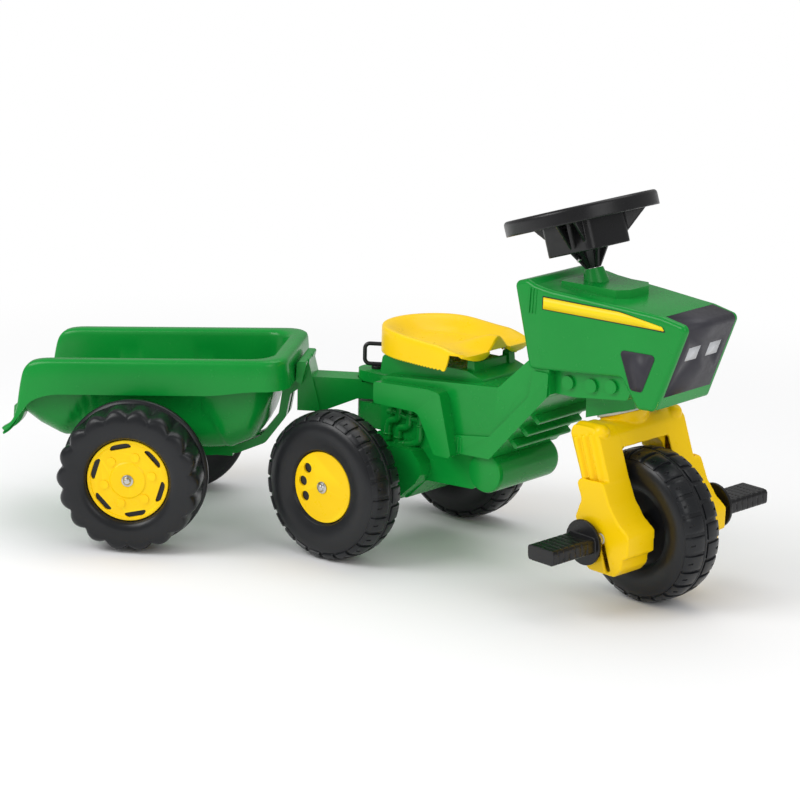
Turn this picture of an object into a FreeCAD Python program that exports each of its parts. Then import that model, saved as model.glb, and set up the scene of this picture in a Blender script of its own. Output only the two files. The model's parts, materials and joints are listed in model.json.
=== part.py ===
import FreeCAD
import Part
import math
import os

# Pedal tractor for a small child, with a tipping trailer hitched behind it.
# Sizes are in millimetres. Until the last step X points forward, Y to the rider's left and Z up,
# with the origin on the ground under the rear axle.

V = FreeCAD.Vector
Y_AXIS = V(0, 1, 0)
Z_AXIS = V(0, 0, 1)

# How the toy stands in its rest pose, in degrees
STEER_REST = -9.0
TRAILER_YAW = 31.5
TUB_PITCH = -2.6
CRANK_ANGLE = 19.5
DISC_HOLE_ANGLE = 175.0
TRAILER_RIM_TURN = 17.0

# Clearances
RUN_FIT = 0.06
GAP = 0.3
SIDE_GAP = 1.0

# Wheels and axles
WHEEL_R = 100.0
REAR_HALF_TRACK = 140.0
REAR_HALF_WIDTH = 29.6
TYRE_WALL = 3.0
TYRE_HUB_R = 24.0
DISC_R = 48.0
DISC_DEPTH = 3.0
DISC_RECESS = 6.9
DISC_HOLE_R = 6.8
DISC_HOLE_CIRCLE_R = 34.0
AXLE_R = 4.0
BUSH_WALL = 3.0
NUT_R = 8.0
NUT_LENGTH = 5.0

# Front wheel, fork and steering
WHEELBASE = 414.0
FRONT_HALF_WIDTH = 33.0
RAKE = 18.0
HEAD_X = 367.54
HEAD_Z = 243.0
COLUMN_R = 8.0
COLUMN_FOOT = -20.0
COLUMN_TOP = 240.0
COLLAR_R = 34.0
COLLAR_HEIGHT = 9.0
FLANGE_T = 3.0
STEER_BUSH_WALL = 4.0
LEG_IN = 42.0
LEG_OUT = 90.0
LEG_UPPER_OUT = 78.0
LEG_WALL = 4.0
ARCH_CLEAR = 8.0
THROW = 22.0
WEB_T = 3.5
WEB_HALF = 7.5
PEDAL_DISC_R = 30.0
PEDAL_DISC_T = 4.5
PEDAL_LENGTH = 73.5
PEDAL_WIDTH = 47.0
PEDAL_HEIGHT = 20.0
PEDAL_GROOVE = 1.6
PEDAL_GROOVES = 6

# Steering wheel
RIM_R = 100.0
RIM_WIDTH = 15.0
RIM_HEIGHT = 20.0
RIM_FOOT = 246.0
CUP_HALF = 44.0
CUP_FOOT = 208.0
CUP_WALL = 3.0
SLEEVE_TOP_R = 26.0
SLEEVE_FOOT_R = 10.5
SLEEVE_FOOT = 185.0
SPOKES = 3
SPOKE_HALF = 13.0

# Body
WALL = 3.0
CORE_HALF = 58.0
CHEEK_HALF = 70.0
BELT_HALF = 73.0
FENDER_HALF = 88.0
HOUSING_HALF = 80.0
DECK_HALF = 50.0
DECK_Z = 264.0
BELLY_R = 27.0
BELLY_X = 193.0
BELLY_Z = 137.0
HEAD_HALF = 58.0
BLOCK_HALF = 32.0
FIN_T = 6.0
FIN_REACH = 12.0
BUMP_R = 9.0
BUMP_T = 4.0

# Bonnet
BONNET_REAR_HALF = 74.0
BONNET_NOSE_HALF = 61.0
BONNET_WALL = 2.6
BONNET_TOP_R = 6.0
PLATFORM_HALF = 36.0
HEAD_TOP = 352.0
SCREW_R = 2.0
BOSS_R = 6.0
REAR_BOSS = 43.0
FRONT_BOSS = 39.0
PLATFORM_Z = 404.0
BOOT_FOOT_R = 18.0
BOOT_TOP_R = 12.7
BOOT_HEIGHT = 15.0
PANEL_T = 0.8

# Seat
SEAT_HALF = 78.0
SEAT_FRONT = 162.0
SEAT_FOOT = 268.0
SEAT_WALL = 3.2
SEAT_TOP_REAR = 310.0
SEAT_TOP_FRONT = 292.0
SEAT_DISH = 20.0
POST_HALF_GAP = 31.0
POST_T = 12.0

# Hitch
HITCH_X = -44.0
LUG_R = 26.0
LUG_TOP_Z = 227.0
LUG_TOP_T = 14.0
EYE_TOP_Z = 211.0
EYE_T = 23.0
LUG_LOW_Z = 184.5
LUG_LOW_T = 34.0
PIN_R = 6.0
PIN_COLLAR_R = 8.6
PIN_COLLAR_T = 4.0
LOOP_HALF = 18.0
LOOP_HEIGHT = 28.0
LOOP_R = 2.8

# Trailer, in its own frame: origin at the hitch pin, X forward
TRAILER_AXLE_X = -305.0
TRAILER_HALF_TRACK = 163.0
TRAILER_HALF_WIDTH = 30.0
TRAILER_TREAD_R = 90.0
LUGS = 18
TRAILER_RIM_R = 55.0
TRAILER_RIM_RECESS = 8.0
TRAILER_RIM_T = 4.0
ARM_IN = 8.0
ARM_OUT = 22.0
ARM_TOP = 107.0
ARM_T = 10.0
BRACE_HALF = 42.0
EAR_IN = 62.0
EAR_OUT = 78.0
POST_PLATE_HALF = 24.0
POST_TOP_Z = 240.0
TUB_HALF = 110.0
TUB_RIM_Z = 245.0
TUB_FLOOR_Z = 111.0
TUB_WALL = 3.0
TUB_FRONT = -101.5
TUB_REAR = -474.0
FLANGE = 25.0


def corner(points, i):
    """Tangent points and middle of the arc that rounds corner i of a flat outline."""
    p = points[i]
    a = points[i - 1]
    b = points[(i + 1) % len(points)]
    radius = p[2] if len(p) > 2 else 0.0
    at = V(p[0], p[1], 0)
    to_a = V(a[0], a[1], 0).sub(at)
    to_b = V(b[0], b[1], 0).sub(at)
    if radius == 0.0:
        return at, at, at
    half = to_a.getAngle(to_b) / 2
    room = 0.48 * min(to_a.Length, to_b.Length)
    cut = min(radius / math.tan(half), room)
    radius = cut * math.tan(half)
    to_a.normalize()
    to_b.normalize()
    bisector = to_a.add(to_b)
    bisector.normalize()
    middle = at.add(bisector * (radius / math.sin(half) - radius))
    return at.add(to_a * cut), middle, at.add(to_b * cut)


def outline(points, place):
    """A closed wire through corners (a, b, radius), placed in space by place(a, b)."""
    corners = [corner(points, i) for i in range(len(points))]
    edges = []
    for i, (start, middle, end) in enumerate(corners):
        if start.distanceToPoint(end) > 1e-6:
            edges.append(Part.Arc(place(start), place(middle), place(end)).toShape())
        following = corners[(i + 1) % len(corners)][0]
        if end.distanceToPoint(following) > 1e-6:
            edges.append(Part.LineSegment(place(end), place(following)).toShape())
    return Part.Wire(edges)


def slab(points, y0, y1):
    """A side-view outline (x, z) drawn out from y0 to y1."""
    wire = outline(points, lambda q: V(q.x, y0, q.y))
    return Part.Face(wire).extrude(V(0, y1 - y0, 0))


def plate(points, z0, z1):
    """A plan outline (x, y) drawn up from z0 to z1."""
    wire = outline(points, lambda q: V(q.x, q.y, z0))
    return Part.Face(wire).extrude(V(0, 0, z1 - z0))


def ring(points, centre=V(0, 0, 0)):
    """A section (along y, radius) turned all round the Y axis through centre."""
    wire = outline(points, lambda q: V(0, q.x, q.y))
    solid = Part.Face(wire).revolve(V(0, 0, 0), Y_AXIS, 360)
    solid.translate(centre)
    return solid


def rod(radius, y0, y1, x=0.0, z=0.0):
    """A round bar across the toy from y0 to y1."""
    return Part.makeCylinder(radius, y1 - y0, V(x, y0, z), Y_AXIS)


def box(x0, x1, y0, y1, z0, z1):
    return Part.makeBox(x1 - x0, y1 - y0, z1 - z0, V(x0, y0, z0))


def both_sides(shape):
    """The shape and its mirror image across the toy's middle plane."""
    return [shape, shape.mirror(V(0, 0, 0), Y_AXIS)]


def fuse(*shapes):
    result = shapes[0]
    for shape in shapes[1:]:
        result = result.fuse(shape)
    return result.removeSplitter()


def cut(shape, *tools):
    result = shape
    for tool in tools:
        result = result.cut(tool)
    return result


def group(shapes):
    return Part.makeCompound(shapes)


# Steering axis: a raked line through the head

AXIS_UP = V(-math.sin(math.radians(RAKE)), 0, math.cos(math.radians(RAKE)))
AXIS_AHEAD = V(math.cos(math.radians(RAKE)), 0, math.sin(math.radians(RAKE)))
HEAD = V(HEAD_X, 0, HEAD_Z)
AXLE = V(WHEELBASE, 0, WHEEL_R)


def on_axis(up, ahead=0.0, y=0.0):
    return HEAD.add(AXIS_UP * up).add(AXIS_AHEAD * ahead).add(V(0, y, 0))


def axis_rod(radius, low, high):
    return Part.makeCylinder(radius, high - low, on_axis(low), AXIS_UP)


def axis_cone(r_low, r_high, low, high):
    return Part.makeCone(r_low, r_high, high - low, on_axis(low), AXIS_UP)


def raked(shape):
    """Move a shape drawn upright at the origin on to the steering axis at the head."""
    moved = shape.copy()
    moved.rotate(V(0, 0, 0), Y_AXIS, -RAKE)
    moved.translate(HEAD)
    return moved


def steered(shape):
    turned = shape.copy()
    turned.rotate(HEAD, AXIS_UP, STEER_REST)
    return turned


def hitched(shape):
    turned = shape.copy()
    turned.rotate(V(0, 0, 0), Z_AXIS, TRAILER_YAW)
    turned.translate(V(HITCH_X, 0, 0))
    return turned


def pitched(shape):
    turned = shape.copy()
    turned.rotate(V(TRAILER_AXLE_X, 0, WHEEL_R), Y_AXIS, TUB_PITCH)
    return turned


# Body shell: one hollow moulding from the hitch to the steering head

LEDGE_REAR = (20, 240, 14)
LEDGE_FRONT = (217, 257, 10)
NECK_TOP = (264, 301)
NECK_FOOT = (300, 262)
BELT_FRONT = (207, 160)


def core_outline(inset):
    d = inset
    return [(12 + d, 78 + d, 12), (60 - d, 76 + d, 8), (92, 107 + d, 10), (172, 110 + d, 8),
            (205 - d, 160 + d, 6), (NECK_FOOT[0] - d, NECK_FOOT[1] + d, 4),
            (330, 262 + d, 4), (412 - d, 272 + d, 6), (425 - d, 300, 6), (425 - d, HEAD_TOP - d, 12),
            (310, HEAD_TOP - d, 10), (NECK_TOP[0], NECK_TOP[1] - d, 10),
            (LEDGE_FRONT[0], LEDGE_FRONT[1] - d, 10), (LEDGE_REAR[0], LEDGE_REAR[1] - d, 14),
            (12 + d, 228, 10)]


def cheek(half):
    points = [(20, 226, 6), (128, 226, 6), (128, 158, 4), BELT_FRONT, NECK_FOOT, (297, 305),
              NECK_TOP, LEDGE_FRONT, LEDGE_REAR]
    return slab(points, -half, half)


def belt():
    points = [(140, 158, 3), BELT_FRONT, (297, 258, 3), (299, 290, 3), (275, 290, 3), (268, 254, 8),
              (206, 190, 8), (140, 181, 3)]
    return slab(points, -BELT_HALF, BELT_HALF)


def fender():
    points = [(22, 235, 4), (114, 240, 8), (134, 238, 8), (156, 154, 5), (127, 154, 5),
              (98, 206, 12), (22, 206, 5)]
    return slab(points, -FENDER_HALF, FENDER_HALF)


def housing():
    points = [(-22, 82, 8), (56, 76, 6), (90, 106, 5), (98, 118, 4), (98, 134, 4), (84, 150, 6),
              (-22, 150, 8)]
    return slab(points, -HOUSING_HALF, HOUSING_HALF)


def deck():
    points = [(2, 236, 4), (6, DECK_Z, 8), (150, DECK_Z, 6), (196, 250, 6)]
    return slab(points, -DECK_HALF, DECK_HALF)


def seat_posts():
    post = slab([(143, 250), (145, 280, 4), (155, 280, 4), (158, 250)],
                POST_HALF_GAP, POST_HALF_GAP + POST_T)
    bar = slab([(147, 250), (149, 274, 3), (153, 274, 3), (155, 250)], -POST_HALF_GAP, POST_HALF_GAP)
    return fuse(bar, *both_sides(post))


def fins():
    """Cooling fins that step down the underside of the neck."""
    run = V(NECK_FOOT[0] - BELT_FRONT[0], 0, NECK_FOOT[1] - BELT_FRONT[1])
    run.normalize()
    out = V(run.z, 0, -run.x)
    solids = []
    for along in (36.0, 62.0, 88.0):
        foot = V(BELT_FRONT[0], 0, BELT_FRONT[1]).add(run * along)
        near = foot.sub(out * 8)
        far = foot.add(out * FIN_REACH)
        half = FIN_T / 2
        points = [(near.x - run.x * half, near.z - run.z * half),
                  (far.x - run.x * half, far.z - run.z * half, 2),
                  (far.x + run.x * half, far.z + run.z * half, 2),
                  (near.x + run.x * half, near.z + run.z * half)]
        solids.append(slab(points, -CORE_HALF, CORE_HALF))
    return solids


def bumps():
    return [rod(BUMP_R, -HEAD_HALF - BUMP_T, HEAD_HALF + BUMP_T, x, z)
            for x, z in ((321, 280), (357, 282), (388, 286))]


def lug(top, thick):
    """A hitch lug behind the body with a round end about the pin."""
    tongue = box(HITCH_X, 30, -LUG_R, LUG_R, top - thick, top)
    end = Part.makeCylinder(LUG_R, thick, V(HITCH_X, 0, top - thick))
    return fuse(tongue, end)


def column_hole(low, high):
    return axis_rod(COLUMN_R + STEER_BUSH_WALL, low, high)


BODY_TOP_UP = (HEAD_TOP - HEAD_Z) / AXIS_UP.z + 6.0


def body_shell():
    core = slab(core_outline(0), -CORE_HALF, CORE_HALF)
    belly = rod(BELLY_R, -CORE_HALF, CORE_HALF, BELLY_X, BELLY_Z)
    block = cut(box(330, 405, -BLOCK_HALF, BLOCK_HALF, 220, 290),
                axis_rod(200, -200, 0))
    outer = fuse(core, cheek(CHEEK_HALF), belt(), fender(), housing(), deck(), seat_posts(), belly, block,
                 *fins(), *bumps(), lug(LUG_TOP_Z, LUG_TOP_T), lug(LUG_LOW_Z, LUG_LOW_T))
    hollow = slab(core_outline(WALL), -CORE_HALF + WALL, CORE_HALF - WALL)
    tube = axis_rod(COLUMN_R + STEER_BUSH_WALL + WALL, 0, BODY_TOP_UP)
    tunnel = rod(AXLE_R + BUSH_WALL + WALL, -HOUSING_HALF, HOUSING_HALF, 0, WHEEL_R)
    solid = fuse(cut(outer, hollow), tube.common(slab(core_outline(0), -CORE_HALF, CORE_HALF)),
                 tunnel.common(outer))
    return cut(solid, column_hole(-5, BODY_TOP_UP + 30),
               rod(AXLE_R + BUSH_WALL, -FENDER_HALF - 5, FENDER_HALF + 5, 0, WHEEL_R),
               Part.makeCylinder(PIN_R + RUN_FIT, 120, V(HITCH_X, 0, 130)),
               *[Part.makeCylinder(SCREW_R, 2 * WALL, V(x, y, HEAD_TOP - 1.5 * WALL)) for x,
                       y in screw_places()])


# Bonnet: a hood over the head, with the platform that the steering column comes through

def bonnet_outline(inset):
    d = inset
    return [(267 + d, 291 - 2 * d, 8), (404 - d, 301 - 2 * d, 8), (429, 263 - 2 * d, 8),
            (455 - d, 264 - 2 * d, 9),
            (499 - d, 379, 8), (460, 387 - d, 9), (380, 393 - d, 30), (300, 398 - d, 30),
                    (272, 402 - d, 20),
            (260, 407 - d, 14), (238 + d, 401 - d, 8)]


def bonnet_plan(inset):
    rear = BONNET_REAR_HALF - inset
    nose = BONNET_NOSE_HALF - inset
    return [(225, -rear + 3, 4), (285, -rear, 30), (440, -nose, 40), (520, -nose + 3, 4),
            (520, nose - 3, 4), (440, nose, 40), (285, rear, 30), (225, rear - 3, 4)]


def bonnet_block(inset):
    side = slab(bonnet_outline(inset), -100, 100)
    return side.common(plate(bonnet_plan(inset), 200, 450))


def platform(inset):
    points = [(286, -PLATFORM_HALF + inset, 3), (372, -PLATFORM_HALF + inset, 4),
              (384 - inset, -PLATFORM_HALF + 16, 3), (384 - inset, PLATFORM_HALF - 16, 3),
              (372, PLATFORM_HALF - inset, 4), (286, PLATFORM_HALF - inset, 3)]
    return plate(points, 380, PLATFORM_Z - inset)


def top_edges(shape):
    """The long upper edges of the bonnet, which are rounded over."""
    found = []
    for edge in shape.Edges:
        box_ = edge.BoundBox
        side = min(abs(box_.YMin), abs(box_.YMax)) > 40
        if side and box_.ZMin > 376 and box_.XLength > 3:
            found.append(edge)
    return found


def screw_places():
    return [(x, y) for x in (318, 392) for y in (-44, 44)]


def bonnet():
    outer = bonnet_block(0)
    outer = outer.makeFillet(BONNET_TOP_R, top_edges(outer))
    inner = bonnet_block(BONNET_WALL)
    shell = cut(outer, inner)
    shell = fuse(shell, cut(platform(0), platform(BONNET_WALL), inner))
    bosses = [Part.makeCylinder(BOSS_R, REAR_BOSS if x < HEAD_X else FRONT_BOSS, V(x, y, HEAD_TOP))
              for x, y in screw_places()]
    whole = cut(fuse(shell, *bosses), grille_skin(), column_hole(100, 230))
    neck = fuse(cheek(CHEEK_HALF + GAP), slab(core_outline(0), -CORE_HALF - GAP, CORE_HALF + GAP))
    neck = neck.common(box(200, 285, -100, 100, 200, 320))
    neck.translate(V(0, 0, GAP))
    return cut(whole, neck, *[Part.makeCylinder(SCREW_R, 16, V(x, y, HEAD_TOP)) for x, y in screw_places()])


GRILLE_HALF = 51.0





def grille_skin():
    """The skin of the nose that the dark panel replaces, from its foot up and over the top edge."""
    skin = cut(bonnet_block(0), bonnet_block(PANEL_T))
    return skin.common(box(461, 520, -GRILLE_HALF, GRILLE_HALF, 283, 400))


def grille_panel():
    """A dark panel let into the nose, flush with the green frame round it."""
    return cut(grille_skin(), *lamp_blocks())


def lamp_blocks():
    return [box(462, 530, y0, y0 + 25, 330, 348) for y0 in (-35, 10)]


def headlamp_panels():
    return group([grille_skin().common(block) for block in lamp_blocks()])


def side_skin(points, thick):
    """A thin decal that follows the bonnet's flank on both sides."""
    outer = cut(bonnet_block(-thick), bonnet_block(0))
    half = outer.common(slab(points, -120, -40))
    return group(both_sides(half))


def bonnet_stripes():
    points = [(288, 388, 1), (288, 373, 1), (466, 370, 1), (462, 375, 2), (400, 385, 60)]
    return side_skin(points, PANEL_T)


def side_vent_panels():
    points = [(402, 337, 5), (455, 337, 5), (436, 287, 5), (420, 288, 5)]
    return side_skin(points, PANEL_T)


def column_boot():
    foot = (PLATFORM_Z - HEAD_Z) / AXIS_UP.z
    cone = axis_cone(BOOT_FOOT_R, BOOT_TOP_R, foot - 8, foot + BOOT_HEIGHT)
    cone = cut(cone, box(200, 420, -60, 60, 300, PLATFORM_Z))
    return cut(cone, axis_rod(COLUMN_R + 2 * GAP, foot - 20, foot + 40))


def bonnet_screws():
    """Four screws driven up through the roof of the head into the bonnet's bosses."""
    screws = []
    for x, y in screw_places():
        shank = Part.makeCylinder(SCREW_R, WALL + 16, V(x, y, HEAD_TOP - WALL))
        head = Part.makeCylinder(2.2 * SCREW_R, 2.5, V(x, y, HEAD_TOP - WALL - 2.5))
        screws.append(fuse(shank, head))
    return group(screws)


# Steering bushes in the head

def lower_bush():
    flange = axis_rod(COLLAR_R + 2, -FLANGE_T, 0)
    barrel = axis_rod(COLUMN_R + STEER_BUSH_WALL, 0, 30)
    return cut(fuse(flange, barrel), axis_rod(COLUMN_R + RUN_FIT, -10, 40))


def upper_bush():
    top = BODY_TOP_UP
    barrel = axis_rod(COLUMN_R + STEER_BUSH_WALL, top - 30, top)
    flange = axis_rod(COLUMN_R + STEER_BUSH_WALL + 4, top, top + FLANGE_T)
    return cut(fuse(flange, barrel), axis_rod(COLUMN_R + RUN_FIT, top - 40, top + 20))


# Fork, drawn pointing straight ahead

FORK_TOP = -FLANGE_T - GAP
COLLAR_FOOT = FORK_TOP - COLLAR_HEIGHT


def upper_outline(inset):
    d = inset
    return [(348 + d, 224 - d, 12), (352, 236 - d, 10), (388, 238 - d, 12), (400 - d, 226, 14),
            (418 - d, 172, 10),
            (424 - d, 130), (380 + d, 125), (366 + d, 174, 10)]


def lower_outline(inset):
    d = inset
    return [(369 + d, 172, 8), (380 + d, 146, 10), (369 + d, 120, 10), (378 + d, 92, 16), (384 + d, 62, 10),
            (394, 54 + d, 8), (438, 54 + d, 10), (450 - d, 66, 8), (453 - d, 80, 2), (462 - d, 85, 3),
            (464 - d, 114, 8), (446 - d, 126, 12), (430 - d, 146, 12), (418 - d, 174, 8)]


def leg():
    """One fork leg: a fluted upper cheek that widens into a housing, hollow towards the wheel."""
    upper = cut(slab(upper_outline(0), -LEG_UPPER_OUT, -LEG_IN),
                slab(upper_outline(LEG_WALL), -LEG_UPPER_OUT + LEG_WALL, -LEG_IN + 1))
    lower = cut(slab(lower_outline(0), -LEG_OUT, -LEG_IN),
                slab(lower_outline(LEG_WALL), -LEG_OUT + LEG_WALL, -LEG_IN + 1))
    lower = lower.cut(slab(upper_outline(LEG_WALL), -LEG_UPPER_OUT + LEG_WALL, -LEG_IN + 1))
    upper = upper.cut(slab(lower_outline(LEG_WALL), -LEG_UPPER_OUT + LEG_WALL, -LEG_IN + 1))
    boss = rod(AXLE_R + BUSH_WALL + LEG_WALL, -LEG_OUT, -LEG_IN, WHEELBASE, WHEEL_R)
    ribs = []
    for ahead in (-14, 0, 14):
        flute = Part.makeCylinder(5.0, 74, AXLE.add(V(0, -LEG_UPPER_OUT,
                0)).add(AXIS_AHEAD * ahead).add(AXIS_UP * 58),
                                  AXIS_UP)
        ribs.append(flute.common(slab(upper_outline(2), -LEG_OUT, -LEG_IN)))
    for up in (30, 80):
        rib = slab([(360, 100 + up), (450, 100 + up), (450, 103 + up),
                (360, 103 + up)], -LEG_UPPER_OUT + 2, -LEG_IN)
        ribs.append(rib.common(slab(upper_outline(1), -LEG_OUT, 0)))
    return fuse(upper, lower, boss, *ribs)


def fork():
    bridge = slab([(350, 205), (352, 234, 10), (388, 237, 12), (400, 226, 14), (406, 205)],
                  -LEG_UPPER_OUT + 6, LEG_UPPER_OUT - 6)
    room = rod(WHEEL_R + ARCH_CLEAR, -LEG_IN, LEG_IN, WHEELBASE, WHEEL_R)
    bridge = cut(bridge, room, box(300, 470, -LEG_IN, LEG_IN, 0, 206))
    collar = axis_cone(COLLAR_R - 5, COLLAR_R, COLLAR_FOOT, FORK_TOP)
    collar = fuse(collar, axis_cone(COLLAR_R - 12, COLLAR_R - 5, COLLAR_FOOT - 10, COLLAR_FOOT))
    whole = fuse(bridge, collar, *both_sides(leg()))
    slot = box(WHEELBASE - 4, WHEELBASE + 4, -LEG_OUT - 20, LEG_OUT + 20, 57, WHEEL_R)
    slot.rotate(AXLE, Y_AXIS, -RAKE)
    return steered(cut(whole, slot, axis_rod(COLUMN_R, COLUMN_FOOT, 20),
                       rod(AXLE_R + BUSH_WALL, -LEG_OUT - 5, LEG_OUT + 5, WHEELBASE, WHEEL_R)))


def axle_bush(y0, y1, x, z):
    return cut(rod(AXLE_R + BUSH_WALL, y0, y1, x, z), rod(AXLE_R + RUN_FIT, y0 - 1, y1 + 1, x, z))


def fork_bushes():
    bush = axle_bush(-LEG_OUT, -LEG_IN, WHEELBASE, WHEEL_R)
    return steered(group(both_sides(bush)))




def steering_column():
    return cut(steered(axis_rod(COLUMN_R, COLUMN_FOOT, COLUMN_TOP)), stem_screw())





def column_sleeve():
    cone = axis_cone(SLEEVE_FOOT_R, SLEEVE_TOP_R, SLEEVE_FOOT, CUP_FOOT)
    ribs = []
    core = axis_cone(SLEEVE_FOOT_R - 0.5, SLEEVE_TOP_R - 8, SLEEVE_FOOT, CUP_FOOT)
    for i in range(8):
        blade = box(0, SLEEVE_TOP_R + 2, -1.5, 1.5, SLEEVE_FOOT, CUP_FOOT)
        blade.rotate(V(0, 0, 0), Z_AXIS, i * 45 + 22.5)
        ribs.append(raked(blade).common(cone))
    return cut(steered(cut(fuse(core, *ribs), axis_rod(COLUMN_R, SLEEVE_FOOT - 5, CUP_FOOT + 5))),
            stem_screw())


def stem_screw():
    """The small screw that locks the steering wheel on its column."""
    side = V(-0.35, -0.94, 0)
    side.normalize()
    at = on_axis(SLEEVE_FOOT + 12)
    shank = Part.makeCylinder(1.8, 12, at.add(side * (COLUMN_R - 2)), side)
    head = Part.makeCylinder(3.6, 2.4, at.add(side * (COLUMN_R + 9)), side)
    return steered(fuse(shank, head))


def steering_wheel():
    """A deep-dished wheel: a channel-section rim, three webbed spokes and a boxed hub."""
    high = RIM_FOOT + RIM_HEIGHT
    rim = cut(Part.makeCylinder(RIM_R, RIM_HEIGHT, V(0, 0, RIM_FOOT)),
              Part.makeCylinder(RIM_R - RIM_WIDTH, RIM_HEIGHT + 2, V(0, 0, RIM_FOOT - 1)))
    rim = rim.makeFillet(5.0, [e for e in rim.Edges if abs(e.BoundBox.ZMin - high) < 0.01
                               and abs(e.BoundBox.ZMax - high) < 0.01])
    channel = cut(Part.makeCylinder(RIM_R - CUP_WALL, RIM_HEIGHT - CUP_WALL - 3, V(0, 0, RIM_FOOT - 1)),
                  Part.makeCylinder(RIM_R - RIM_WIDTH + CUP_WALL, RIM_HEIGHT, V(0, 0, RIM_FOOT - 1)))
    rim = cut(rim, channel)
    square = [(-CUP_HALF, -CUP_HALF + 6, 12), (CUP_HALF, -CUP_HALF + 6, 12),
              (CUP_HALF, CUP_HALF - 6, 12), (-CUP_HALF, CUP_HALF - 6, 12)]
    inner = [(math.copysign(abs(x) - CUP_WALL, x), math.copysign(abs(y) - CUP_WALL, y), 9)
             for x, y, r in square]
    cup = cut(plate(square, CUP_FOOT, high - 4), plate(inner, CUP_FOOT + CUP_WALL, high + 1))
    boss = Part.makeCylinder(COLUMN_R + 5, high - 10 - CUP_FOOT, V(0, 0, CUP_FOOT))
    spokes = []
    for i in range(SPOKES):
        angle = 180 + i * 360 / SPOKES
        points = [(CUP_HALF - 6, CUP_FOOT + 2), (RIM_R - RIM_WIDTH + 1, RIM_FOOT + 4),
                  (RIM_R - RIM_WIDTH + 1, high - 4), (CUP_HALF - 6, high - 4)]
        web = slab(points, -SPOKE_HALF, -SPOKE_HALF + CUP_WALL)
        web2 = slab(points, SPOKE_HALF - CUP_WALL, SPOKE_HALF)
        top = slab([(CUP_HALF - 6, high - 4 - CUP_WALL), (RIM_R - RIM_WIDTH + 1, high - 4 - CUP_WALL),
                    (RIM_R - RIM_WIDTH + 1, high - 4), (CUP_HALF - 6, high - 4)],
                   -SPOKE_HALF, SPOKE_HALF)
        spoke = cut(fuse(web, web2, top), plate(inner, CUP_FOOT, high + 1))
        spoke.rotate(V(0, 0, 0), Z_AXIS, angle)
        spokes.append(spoke)
    wheel = fuse(rim, cup, *[cut(spoke, plate(inner, CUP_FOOT, high + 1)) for spoke in spokes])
    wheel = cut(fuse(wheel, boss), Part.makeCylinder(COLUMN_R, 200, V(0, 0, CUP_FOOT - 20)))
    return steered(raked(wheel))


def wheel_centre_cap():
    high = RIM_FOOT + RIM_HEIGHT
    half = CUP_HALF - CUP_WALL - GAP
    points = [(-half, -half + 6, 9), (half, -half + 6, 9), (half, half - 6, 9), (-half, half - 6, 9)]
    cap = plate(points, high - 10 + GAP, high - 2)
    return steered(raked(cap))


# Wheels: blow-moulded, hollow, turned about the Y axis; s is the distance outwards from the middle

def tyre_section(half, recess_r, recess, inset):
    d = inset
    top = WHEEL_R - d
    return [(-half + 6 + d, TYRE_HUB_R - 8 + d, 3), (-half + 6 + d, TYRE_HUB_R + d, 4),
            (-half + 14 + d, recess_r - 8, 6), (-half + 8 + d, recess_r + 4, 6),
            (-half + d, recess_r + 18, 10), (-half + d, 88, 14), (-half + 10, top - 1, 10), (0, top, 60),
            (half - 10, top - 1, 10), (half - d, 88, 14), (half - d, recess_r + 10, 8),
            (half - recess - d, recess_r + GAP + d, 2), (half - recess - DISC_DEPTH - d,
                    recess_r + GAP + d, 1),
            (half - recess - DISC_DEPTH - d, TYRE_HUB_R - 8 + d, 3)]


def tyre(half, recess_r, recess, sign):
    outer = ring(tyre_section(half, recess_r, recess, 0))
    hollow = ring(tyre_section(half, recess_r, recess, TYRE_WALL))
    hub = ring([(-half + 6, AXLE_R + RUN_FIT), (-half + 6, TYRE_HUB_R - 6),
            (half - recess - DISC_DEPTH, TYRE_HUB_R - 6),
                (half - recess - DISC_DEPTH, AXLE_R + RUN_FIT)])
    solid = fuse(cut(outer, hollow), hub)
    if sign < 0:
        solid = solid.mirror(V(0, 0, 0), Y_AXIS)
    return solid


def at_wheel(shape, sign, x=0.0, track=REAR_HALF_TRACK):
    moved = shape.copy()
    moved.translate(V(x, sign * track, WHEEL_R))
    return moved


def rear_disc(sign):
    """The yellow wheel disc with its three holes on one side."""
    out = REAR_HALF_WIDTH - DISC_RECESS
    disc = ring([(out - DISC_DEPTH, AXLE_R + RUN_FIT), (out - DISC_DEPTH, DISC_R, 1), (out, DISC_R, 1),
                 (out, AXLE_R + RUN_FIT)])
    for step in (-1, 0, 1):
        angle = math.radians(DISC_HOLE_ANGLE + 35 * step)
        hole = rod(DISC_HOLE_R, 0, 60, DISC_HOLE_CIRCLE_R * math.cos(angle),
                   DISC_HOLE_CIRCLE_R * math.sin(angle))
        disc = disc.cut(hole)
    if sign < 0:
        disc = disc.mirror(V(0, 0, 0), Y_AXIS)
    return at_wheel(disc, sign)


def push_nut(sign, face):
    """A domed push-on nut at an axle's end."""
    nut = ring([(0, 0), (0, NUT_R, 0), (1.2, NUT_R, 0), (2.0, NUT_R - 2.5, 1), (NUT_LENGTH, NUT_R - 4.5, 2),
                (NUT_LENGTH, 0)])
    nut = cut(nut, rod(AXLE_R, -1, NUT_LENGTH - 1.2))
    if sign < 0:
        nut = nut.mirror(V(0, 0, 0), Y_AXIS)
    nut.translate(V(0, sign * face, 0))
    return nut


REAR_FACE = REAR_HALF_TRACK + REAR_HALF_WIDTH - DISC_RECESS + GAP


def rear_axle():
    end = REAR_FACE + NUT_LENGTH - 1.2
    return rod(AXLE_R, -end, end, 0, WHEEL_R)


def rear_push_nuts():
    nuts = [push_nut(sign, REAR_FACE) for sign in (-1, 1)]
    shape = group(nuts)
    shape.translate(V(0, 0, WHEEL_R))
    return shape


def rear_bushes():
    return group(both_sides(axle_bush(-HOUSING_HALF, -HOUSING_HALF + 25, 0, WHEEL_R)))


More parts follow.
